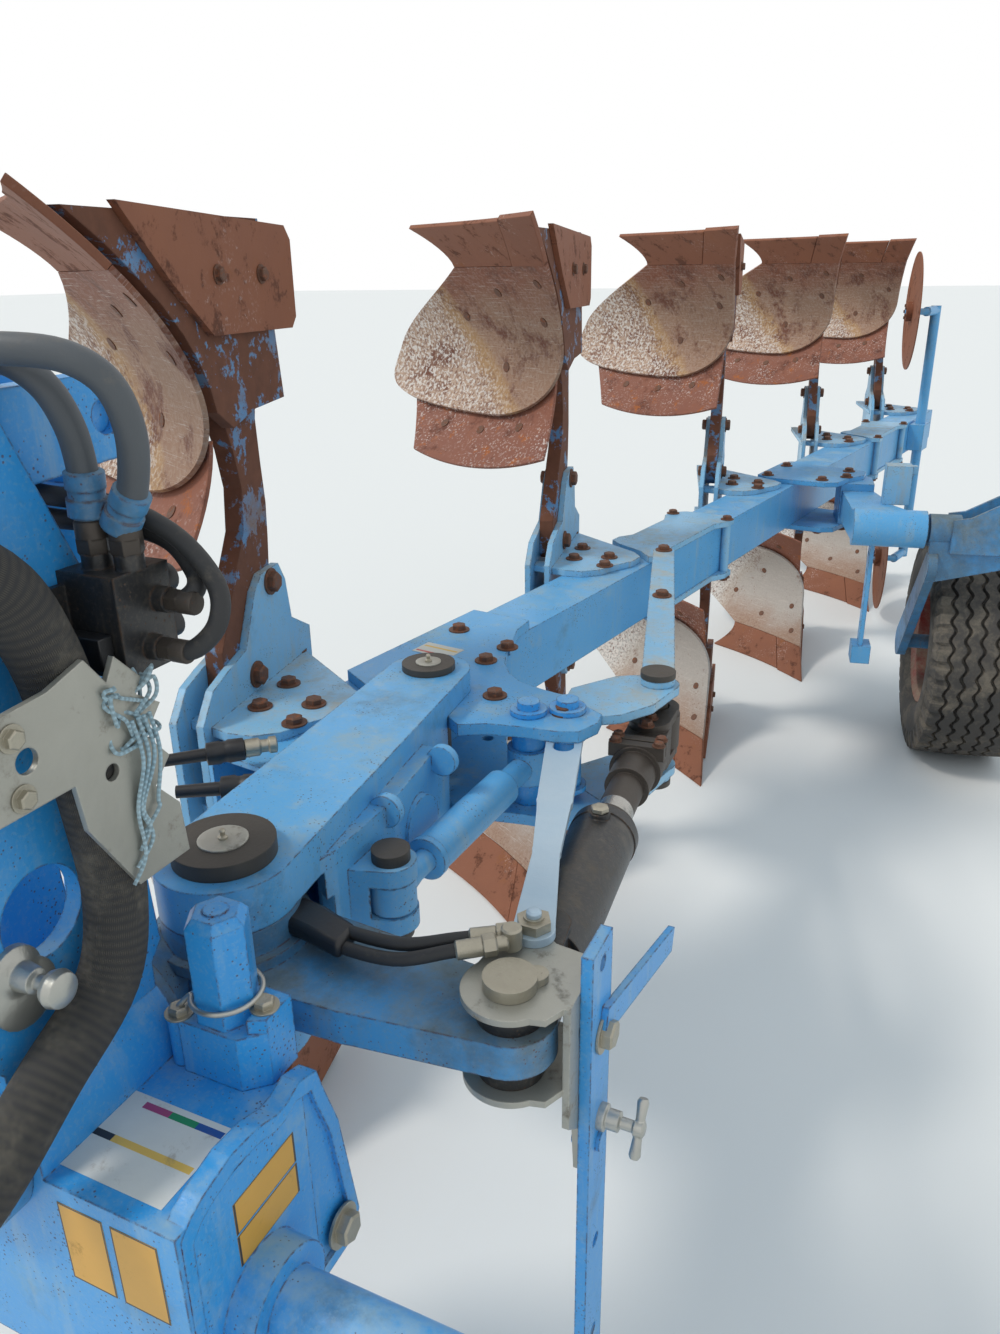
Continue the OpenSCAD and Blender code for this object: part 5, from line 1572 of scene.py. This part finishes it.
@dataclass
class Tower:
    """The headstock: end plates, tower, posts, valve block, holder and its blank plates."""

    post: Point = (165.0, 102.0)
    seat_z: float = 244.3
    plate_x: float = 75.0

    def build(self) -> None:
        """Dresses the nodes and adds the small parts."""
        repaint(AZURE, "headstock", "stop_posts", "turnover_cylinder")
        repaint(ZINC, "lower_link_pins")
        repaint(BLACK, "valve_block")
        repaint(GALVANISED, "hose_holder")
        self.plates()
        self.knobs()
        self.valves()
        self.clips()
        self.lashing()

    def plates(self) -> None:
        """Makes the blank plates on the crossbeam."""
        table = Maker("table_plate")
        table.blank(140, 100, mm(81, -75, 178.1), LEFT, REAR)
        table.piece(Body.HEADSTOCK, TABLE_PLATE)
        yellow = Maker("warning_blanks")
        for x in (110, 175):
            yellow.blank(55, 99, mm(x, -95.1, 59), LEFT, UP)
        for z in (62, 104):
            yellow.blank(96, 39, mm(254.1, -23, z), REAR, UP)
        yellow.piece(Body.HEADSTOCK, YELLOW_PLATE)

    def knobs(self) -> None:
        """Makes the spring pins and caps on the tower's plates, and the headstock's bolts."""
        knob = Maker("spring_pin")
        pull = [(26, -2), (26, 6), (14, 12), (12, 30), (7, 32), (7, 44), (15, 47), (18, 54), (16, 62),
                (8, 66)]
        for way in (1, -1):
            knob.turned(pull, mm(way * self.plate_x, -62, 384), LEFT * way, 24)
            knob.turned([(34, -2), (34, 7), (30, 9)], mm(way * self.plate_x, -58, 360), LEFT * way, 24)
        knob.piece(Body.HEADSTOCK, ZINC)
        x, y = self.post
        bolts = [Bolt(mm(way * 255, 136, -58), LEFT * way, 22) for way in (1, -1)]
        for aside, back, lift in ((-46, -24, 0), (44, 4, 17)):
            bolts += [Bolt(mm(way * (x + aside), y + back, self.seat_z + lift), UP, 13) for way in (1, -1)]
        bolts += [Bolt(mm(149.5, -70, z), LEFT, 10) for z in (580, 632)]
        BoltSet.fit("headstock_bolts", bolts, Body.HEADSTOCK, BRIGHT_BOLT, 1.2)

    def valves(self) -> None:
        """Makes the coils, plugs and hose ends of the valve block."""
        coils, ends, caps = Maker("valve_coils"), Maker("hose_ends"), Maker("hose_couplings")
        for x, z in ((94, 700), (124, 700), (94, 656), (124, 656)):
            coils.turned([(13, -2), (14, 0), (14, 16), (11, 18), (6, 19)], mm(x, 128, z), REAR, 20)
        coils.blank(44, 30, mm(86, 61.9, 640), LEFT, UP, 16)
        for at, axis, size in ((mm(131, 94, 737), UP, 1.0), (mm(101, 86, 737), UP, 1.0),
                               (mm(156, 95, 650), LEFT, 0.75), (mm(156, 112, 690), LEFT, 0.75)):
            ends.turned([(13 * size, -3), (15 * size, 0), (15 * size, 12), (12 * size, 14)], at, axis, 6)
            ends.turned([(14.4 * size, 12), (14.4 * size, 26), (13.2 * size, 28)], at, axis, 22)
        joint = [(13.4, -20), (17, -18), (17, -4), (15.5, -3), (15.5, 4), (17.5, 5), (17.5, 20), (13.4, 22)]
        for hose, share in ((HOSES[0], 0.83), (HOSES[1], 0.80)):
            line = smoothed(hose.route)
            k = int(share * (len(line) - 1))
            caps.turned(joint, line[k], line[k + 1] - line[k - 1], 24)
        coils.piece(Body.HEADSTOCK, PLASTIC, bevel=1.2)
        ends.piece(Body.HEADSTOCK, DARK_STEEL)
        caps.piece(Body.HEADSTOCK, ARM_BLUE)

    def clips(self) -> None:
        """Makes the wire clips that loop round the posts from their screws."""
        wire = Maker("post_clips")
        for way in (1, -1):
            loop = [(way * (self.post[0] - 46), self.post[1] - 24, self.seat_z + 9)]
            for k in range(-150, 100, 25):
                a = math.radians(k)
                loop.append((way * (self.post[0] + 37 * math.cos(a)), self.post[1] + 37 * math.sin(a),
                             self.seat_z + 24 + 0.02 * (k + 150)))
            wire.tube(smoothed(loop, 4), 3, 8)
        wire.piece(Body.HEADSTOCK, ZINC)

    def lashing(self) -> None:
        """Winds loose twine round the holder's notch."""
        chance = random.Random(11)
        twine = Maker("twine_lashing")
        for strand in range(5):
            route = []
            for k in range(16):
                a = k * 0.95 + strand
                y = 52 + 26 * math.sin(a * 0.7 + strand) + chance.uniform(-7, 7)
                z = 604 + 30 * math.sin(a * 0.45 + strand * 1.3) + chance.uniform(-8, 8)
                route.append((146 + 9 * math.cos(a), y, z))
            twine.tube(smoothed(route, 5), 1.9, 7)
        for strand in range(4):
            y = 44 + 7 * strand
            fall = [(156, y, 600), (158, y + 4, 560), (153, y - 6 + chance.uniform(-9, 9), 515),
                    (155, y - 12 + chance.uniform(-9, 9), 470 + 12 * strand),
                    (152, y - 24, 446 + 14 * strand)]
            twine.tube(smoothed(fall, 6), 1.9, 7)
        twine.piece(Body.HEADSTOCK, TWINE)


@dataclass(frozen=True)
class Hose:
    """A hose of a fixed length between its fittings, its route in millimetres as its solid has it."""

    name: str
    node: str
    body: Body
    radius: float
    finish: Rubber
    route: tuple[Point, ...]
    far_end: str = "object"

    def build(self) -> None:
        """Makes the hose along its smooth route in place of its solid."""
        line = smoothed(self.route, 6)
        maker = Maker(self.name)
        maker.tube(line, self.radius, 18)
        made = maker.piece(self.body, self.finish, 60)
        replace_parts(made, self.node)


HOSES = (
    Hose("grey_hose_rear", "tower_hoses", Body.HEADSTOCK, 13, GREY_HOSE, (
        (-36, -8, 904), (30, 6, 908), (96, 26, 910), (142, 48, 904), (166, 66, 882), (168, 80, 842),
        (150, 92, 796), (131, 94, 764), (131, 94, 738))),
    Hose("grey_hose_front", "tower_hoses", Body.HEADSTOCK, 13, GREY_HOSE, (
        (-36, 24, 906), (10, 38, 908), (60, 56, 902), (92, 68, 880), (106, 76, 846), (104, 84, 806),
        (101, 86, 772), (101, 86, 738))),
    Hose("black_hose_upper", "tower_hoses", Body.HEADSTOCK, 9, HOSE, (
        (-50, 86, 786), (0, 92, 784), (50, 94, 780), (110, 114, 770), (160, 126, 744), (198, 124, 706),
        (207, 110, 676), (190, 98, 654), (167, 95, 650), (157, 95, 650))),
    Hose("black_hose_lower", "tower_hoses", Body.HEADSTOCK, 9, HOSE, (
        (-50, 84, 762), (0, 92, 762), (50, 98, 758), (100, 126, 750), (136, 140, 736), (164, 136, 712),
        (176, 122, 700), (167, 112, 690), (157, 112, 690))),
    Hose("woven_hose_sleeve", "hose_sleeve", Body.HEADSTOCK, 29.5, SLEEVE, (
        (112, -70, 770), (112, -24, 733), (113.2, 0, 680), (113.2, 14, 620), (113.2, 26, 516),
        (113.2, 30, 420), (113.2, 4, 340), (113.2, -76, 290), (113.2, -146, 246), (92, -186, 200))),
    Hose("crank_hose_rear", "crank_hoses", Body.TURNING_HEAD, 8, HOSE, (
        (134, 292, 233.9), (190, 270, 242), (279, 262, 252), (340, 284, 262), (384, 306, 266))),
    Hose("crank_hose_front", "crank_hoses", Body.TURNING_HEAD, 8, HOSE, (
        (142.5, 266, 234.5), (196, 249, 236), (280, 244, 244), (344, 262, 262), (378, 282, 266))),
)


@dataclass
class Crank:
    """The turning head with its pins, the galvanised bracket, and the parking stand."""

    stand: Point = (500.0, 300.0)

    def build(self) -> None:
        """Dresses the nodes and adds hose ends, bolts and the stand's pins."""
        repaint(ARM_BLUE, "turning_head")
        repaint(BRIGHT_BOLT, "crank_pins")
        repaint(GALVANISED, "stand_bracket")
        repaint(AZURE, "stand")
        self.hose_ends()
        self.stand_parts()

    def hose_ends(self) -> None:
        """Makes the swaged hose ends, the flat guard over the two hoses and the lever pin's cap."""
        ends = Maker("crank_hose_ends")
        for hose in HOSES[-2:]:
            line = smoothed(hose.route, 6)
            axis = line[-1] - line[-4]
            ends.turned([(8.2, -36), (11, -34), (11, -6), (9, -4)], line[-1], axis, 20)
            ends.turned([(12, -5), (13, -4), (13, 9), (11, 11)], line[-1], axis, 6)
            ends.turned([(9, 10), (9, 22), (7, 24)], line[-1], axis, 16)
        ends.turned([(10, -14), (12, -12), (12, 12), (10, 14)], mm(398, 304, 268), UP, 20)
        ends.piece(Body.TURNING_HEAD, BRIGHT_BOLT)
        guard = Maker("hose_guard")
        guard.prism([(118, 250), (118, 300), (160, 292), (214, 274), (214, 232), (160, 244)], mm(0, 0, 228),
                    LEFT, REAR, 24)
        guard.piece(Body.TURNING_HEAD, PLASTIC, 50, 7)
        cap = Maker("lever_pin_cap")
        cap.turned([(9, 0), (9, 5), (6, 8), (3, 8.5)], mm(409, 342, 275.2), UP, 20)
        cap.piece(Body.TURNING_HEAD, PALE_STEEL)

    def stand_parts(self) -> None:
        """Makes the stand's bolt and its spring pin with a cross handle."""
        x, y = self.stand
        bolt = Bolt(mm(x + 7.3, y + 4, 174), LEFT, 20)
        BoltSet.fit("stand_bolts", [bolt], Body.STAND, BRIGHT_BOLT, 1.2)
        pin = Maker("stand_spring_pin")
        pin.turned([(16, -2), (16, 8), (12, 10), (12, 24), (7, 26), (7, 40), (10, 42), (10, 52), (6, 54)],
                   mm(x + 7.2, y + 3, 54), LEFT, 22)
        pin.turned([(5, -34), (7, -30), (5.5, -12), (5.5, 12), (7, 30), (5, 34)], mm(x + 54, y + 3, 54),
                   Vector((0, 0.45, 0.9)), 14)
        pin.piece(Body.STAND, ZINC)


@dataclass
class SwingLink:
    """The swing cylinder with its rod, and the pale lever beside it."""

    front: Point = (420.0, 250.0)
    rear: Point = (170.0, 845.0)
    seal_at: float = 431.0
    chrome_at: float = 436.0
    port_at: float = 396.0
    port_h: float = 56.0
    rod_r: float = 28.15
    clamp_rows: tuple[float, ...] = (167.5, 145.5)
    eye_rows: tuple[float, ...] = (92.0, 60.0)

    def build(self) -> None:
        """Dresses the nodes and adds the rod's chrome, its seal, the port and the clamp bolts."""
        repaint(BLACK, "swing_barrel")
        repaint(DARK_STEEL, "swing_rod")
        repaint(PALE_STEEL, "swing_lever")
        start = mm(*self.front, LAY.turn_z)
        end = LAY.beam_point(*self.rear, LAY.turn_z)
        along = (end - start).normalized()
        across = Vector((along.y, -along.x, 0))
        seal, chrome, port = Maker("rod_seal"), Maker("rod_chrome"), Maker("barrel_port")
        seal.turned([(29.2, 0), (46, 0.6), (46, 8), (40, 11), (29.2, 11)],
                    start + along * (self.seal_at / 1000), along, 40)
        chrome.turned([(self.rod_r, 0), (self.rod_r, 62)], start + along * (self.chrome_at / 1000), along, 44)
        port.turned([(10, 0), (13, 1), (13, 7), (8, 9), (6, 9)],
                    start + along * (self.port_at / 1000) + UP * (self.port_h / 1000), UP, 6)
        seal.piece(Body.BARREL, DARK_PIN)
        chrome.piece(Body.ROD, ROD)
        port.piece(Body.BARREL, BRIGHT_BOLT)
        bolts = []
        for d in self.clamp_rows:
            for way in (1, -1):
                bolts.append(Bolt(end - along * (d / 1000) + across * (way * 0.036) + UP * 0.046, UP, 10))
        for d in self.eye_rows:
            bolts.append(Bolt(end - along * (d / 1000) + UP * 0.0445, UP, 13))
        BoltSet.fit("clamp_bolts", bolts, Body.ROD, BOLT_RUST, 1.1)


class Tread(IntEnum):
    """What a point of the tyre's outline belongs to: a smooth side, a rib that sways, or a shoulder block."""

    SMOOTH = 0
    RIB = 1
    BLOCK = 2


@dataclass
class TyreRing:
    """The wheel's tyre with wavy ribs and shoulder blocks, one stretch of it repeated round.

    The profile gives each point's place along the axle, its radius and its kind of tread.
    """

    centre: Vector
    repeats: int = 40
    steps: int = 8
    wave: float = 7.0
    block_gap: float = 0.3
    block_inset: float = 7.0
    shoulder_r: float = 360.0
    shoulder_cut: float = 12.0
    side_cut: float = 4.0
    profile: tuple[Point, ...] = (
        (-110, 200.5, 0), (-124, 217, 0), (-137, 223, 0), (-152, 246, 0), (-158.5, 272, 0), (-159, 300, 0),
        (-157, 322, 0), (-154.5, 325, 0), (-155, 345, 2), (-150, 372, 2), (-146, 384.5, 2), (-112, 387, 1),
        (-109, 371, 1), (-103, 371, 1), (-100, 387.5, 1), (-68, 389, 1), (-65, 373, 1), (-58, 373, 1),
        (-55, 389.5, 1), (-22, 389.8, 1), (-19, 374, 1), (-13, 374, 1), (-10, 389.8, 1), (24, 389.8, 1),
        (27, 374, 1), (33, 374, 1), (36, 389.5, 1), (66, 389, 1), (69, 372, 1), (76, 372, 1), (79, 387.5, 1),
        (112, 386, 1), (146, 384.5, 2), (150, 372, 2), (155, 345, 2), (154.5, 325, 0), (157, 322, 0),
        (159, 300, 0), (158.5, 272, 0), (152, 246, 0), (137, 223, 0), (124, 217, 0), (110, 200.5, 0))

    def stretch(self) -> bpy.types.Mesh:
        """One repeat of the tyre round the X axis.

        Returns:
            The open stretch's mesh, whose ends meet its neighbours.
        """
        points, faces = [], []
        count = len(self.profile)
        for j in range(self.steps + 1):
            t = j / self.steps
            angle = 2 * math.pi * t / self.repeats
            sway = self.wave * math.sin(2 * math.pi * t)
            for along, radius, kind in self.profile:
                a, r = along, radius
                if kind == Tread.RIB:
                    a += sway
                if kind == Tread.BLOCK:
                    shift = 0.5 if along > 0 else 0.0
                    if (t + shift) % 1.0 < self.block_gap:
                        r -= self.shoulder_cut if radius > self.shoulder_r else self.side_cut
                        a -= math.copysign(self.block_inset, along)
                points.append((a * 0.001, r * 0.001 * math.cos(angle), r * 0.001 * math.sin(angle)))
        for j in range(self.steps):
            for k in range(count):
                n = (k + 1) % count
                faces.append([j * count + k, j * count + n, (j + 1) * count + n, (j + 1) * count + k])
        data = bpy.data.meshes.new("tyre_stretch")
        data.from_pydata(points, [], faces)
        return data

    def build(self) -> None:
        """Repeats the stretch round the wheel's axis and puts the ring in place."""
        g = Tree("ring_of_stretches", {"Finish": "NodeSocketMaterial", "Count": "NodeSocketInt"})
        points = g.node("GeometryNodePoints")
        g.put(points.inputs["Count"], g.given.outputs["Count"])
        turn = g.node("FunctionNodeEulerToRotation")
        angle = g.node("ShaderNodeCombineXYZ")
        step = g.math("DIVIDE", 2 * math.pi, g.given.outputs["Count"])
        g.put(angle.inputs["X"], g.math("MULTIPLY", g.node("GeometryNodeInputIndex").outputs[0], step))
        g.put(turn.inputs[0], angle.outputs[0])
        spread = g.node("GeometryNodeInstanceOnPoints")
        g.put(spread.inputs["Points"], points.outputs[0])
        g.put(spread.inputs["Instance"], g.given.outputs["Geometry"])
        g.put(spread.inputs["Rotation"], turn.outputs[0])
        g.close(spread.outputs[0], 0.00005)
        data = g.run(self.stretch(), {"Finish": dress(TYRE), "Count": self.repeats}, "treaded_tyre")
        data.transform(Matrix.Translation(self.centre) @ Matrix.Rotation(math.radians(LAY.body_yaw), 4, "Z"))
        face_outward(data)
        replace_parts(settle("treaded_tyre", data, Body.WHEEL, TYRE, 38), "tyre")


@dataclass
class DepthWheel:
    """The pendulum wheel with its arm, stop and bracket."""

    axle_z: float = -290.0
    hub_face: float = 30.0
    nuts: int = 8
    nut_ring: float = 52.0

    def build(self) -> None:
        """Dresses the nodes and adds the tyre, the wheel nuts and the hub cap."""
        repaint(FRAME_BLUE, "wheel_bracket")
        repaint(SANDY_BLUE, "wheel_stop")
        repaint(ARM_BLUE, "wheel_arm")
        repaint(RIM_RED, "rim")
        low, high = (Vector(corner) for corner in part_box("tyre"))
        middle = (low + high) / 2
        middle.z = self.axle_z / 1000
        TyreRing(middle).build()
        yaw = math.radians(LAY.body_yaw)
        axle = Vector((math.cos(yaw), math.sin(yaw), 0))
        back = Vector((-math.sin(yaw), math.cos(yaw), 0))
        face = middle + axle * (self.hub_face / 1000)
        heads = []
        for k in range(self.nuts):
            a = 2 * math.pi * k / self.nuts
            round_it = back * math.cos(a) + UP * math.sin(a)
            heads.append(Bolt(face + round_it * (self.nut_ring / 1000), axle, 11))
        BoltSet.fit("wheel_nuts", heads, Body.WHEEL, BOLT_RUST)
        hub = Maker("hub_cap")
        hub.turned([(34, -2), (34, 14), (30, 20), (12, 23)], face, axle, 28)
        hub.piece(Body.WHEEL, RIM_RED)


@dataclass
class Coulters:
    """The disc coulters beside the last body."""

    hub: Point = (-4.0, -60.0, 300.0)
    bolts: int = 5
    ring: float = 27.0

    def build(self) -> None:
        """Dresses discs and holders and adds the hub bolts."""
        repaint(RUST, "coulter_disc_upper", "coulter_disc_lower")
        repaint(FRAME_BLUE, "coulter_holders")
        x, y, z = self.hub
        for side, body in ((Side.LOWER, Body.COULTER_LOWER), (Side.UPPER, Body.COULTER_UPPER)):
            bolts = []
            for k in range(self.bolts):
                a = 2 * math.pi * k / self.bolts
                p = (x, y + self.ring * math.cos(a), z + self.ring * math.sin(a))
                bolts.append(Bolt(LAY.body_point(LAY.bodies, p, side), LAY.body_axis((-1, 0, 0), side), 8))
            BoltSet.fit(f"disc_bolts_{side.name.lower()}", bolts, body, BOLT_RUST)


@dataclass
class Studio:
    """Pale floor, soft light and the camera at the photograph's view."""

    eye: Point = (0.783, -0.541, 0.96)
    turn: float = 25.0
    dip: float = 21.6
    roll: float = 0.9
    lens: float = 27.04
    ground: float = -0.680
    floor_half: float = 90.0
    sun_place: Point = (-4.0, -3.0, 6.0)
    sun_strength: float = 1.4
    sun_spread: float = 12.0
    sky: Point = (0.80, 0.91, 1.0, 1.0)
    sky_strength: float = 0.76

    def build(self) -> None:
        """Makes floor, world, sun and camera."""
        self.floor()
        self.world()
        self.sun()
        self.camera()

    def floor(self) -> None:
        """A wide pale floor that keeps the object's shadow."""
        data = bpy.data.meshes.new("floor")
        size = self.floor_half
        corners = ((-size, -size), (size, -size), (size, size), (-size, size))
        data.from_pydata([(x, y, self.ground) for x, y in corners], [], [[0, 1, 2, 3]])
        coat = Coat("pale_floor")
        data.materials.append(coat.finish(srgb(236, 234, 230), 0.95))
        made = bpy.data.objects.new("floor", data)
        bpy.context.scene.collection.objects.link(made)

    def world(self) -> None:
        """Soft light all round, and a white background for the camera and for reflections."""
        scene = bpy.context.scene
        scene.world = bpy.data.worlds.new("soft_sky")
        scene.world.use_nodes = True
        g = Graph(scene.world.node_tree)
        g.tree.nodes.clear()
        rays = g.node("ShaderNodeLightPath")
        seen = g.math("MAXIMUM", rays.outputs["Is Camera Ray"],
                      g.math("MAXIMUM", rays.outputs["Is Glossy Ray"], rays.outputs["Is Transmission Ray"]))
        light, white = g.node("ShaderNodeBackground"), g.node("ShaderNodeBackground")
        light.inputs["Color"].default_value = self.sky
        light.inputs["Strength"].default_value = self.sky_strength
        white.inputs["Color"].default_value = (1.0, 1.0, 1.0, 1)
        mix = g.node("ShaderNodeMixShader")
        g.put(mix.inputs[0], seen)
        g.put(mix.inputs[1], light.outputs[0])
        g.put(mix.inputs[2], white.outputs[0])
        g.put(g.node("ShaderNodeOutputWorld").inputs[0], mix.outputs[0])
        scene.view_settings.view_transform = "Standard"

    def sun(self) -> None:
        """Adds a soft, warm sun above the plough's front right corner."""
        data = bpy.data.lights.new("key", "SUN")
        data.energy = self.sun_strength
        data.angle = math.radians(self.sun_spread)
        data.color = (1.0, 0.96, 0.9)
        made = bpy.data.objects.new("key", data)
        made.location = self.sun_place
        made.rotation_euler = Vector(self.sun_place).to_track_quat("Z", "Y").to_euler()
        bpy.context.scene.collection.objects.link(made)

    def camera(self) -> None:
        """Sets the camera at the photograph's place, whose frame is taken as 1000 by 1334."""
        turn, dip, roll = (math.radians(v) for v in (self.turn, self.dip, self.roll))
        ahead = Vector((-math.sin(turn) * math.cos(dip), math.cos(turn) * math.cos(dip), -math.sin(dip)))
        right = Vector((math.cos(turn), math.sin(turn), 0))
        up = right.cross(ahead)
        right, up = right * math.cos(roll) - up * math.sin(roll), right * math.sin(roll) + up * math.cos(roll)
        data = bpy.data.cameras.new("photo_view")
        data.sensor_fit = "VERTICAL"
        data.sensor_height = 36
        data.lens = self.lens
        data.clip_start = 0.02
        data.clip_end = 400
        made = bpy.data.objects.new("photo_view", data)
        turned = Matrix((right, up, -ahead)).transposed().to_4x4()
        made.matrix_world = Matrix.Translation(self.eye) @ turned
        bpy.context.scene.collection.objects.link(made)
        bpy.context.scene.camera = made


def main() -> None:
    """Builds every sub-assembly in order."""
    logging.basicConfig(level=logging.INFO, format="%(name)s: %(message)s")
    for part in (Studio(), Tower(), *HOSES, Crank(), SwingLink(), Beam(), ToolBodies(), DepthWheel(),
                 Coulters()):
        log.info("building %s", type(part).__name__)
        part.build()


if __name__ == "__main__":
    main()
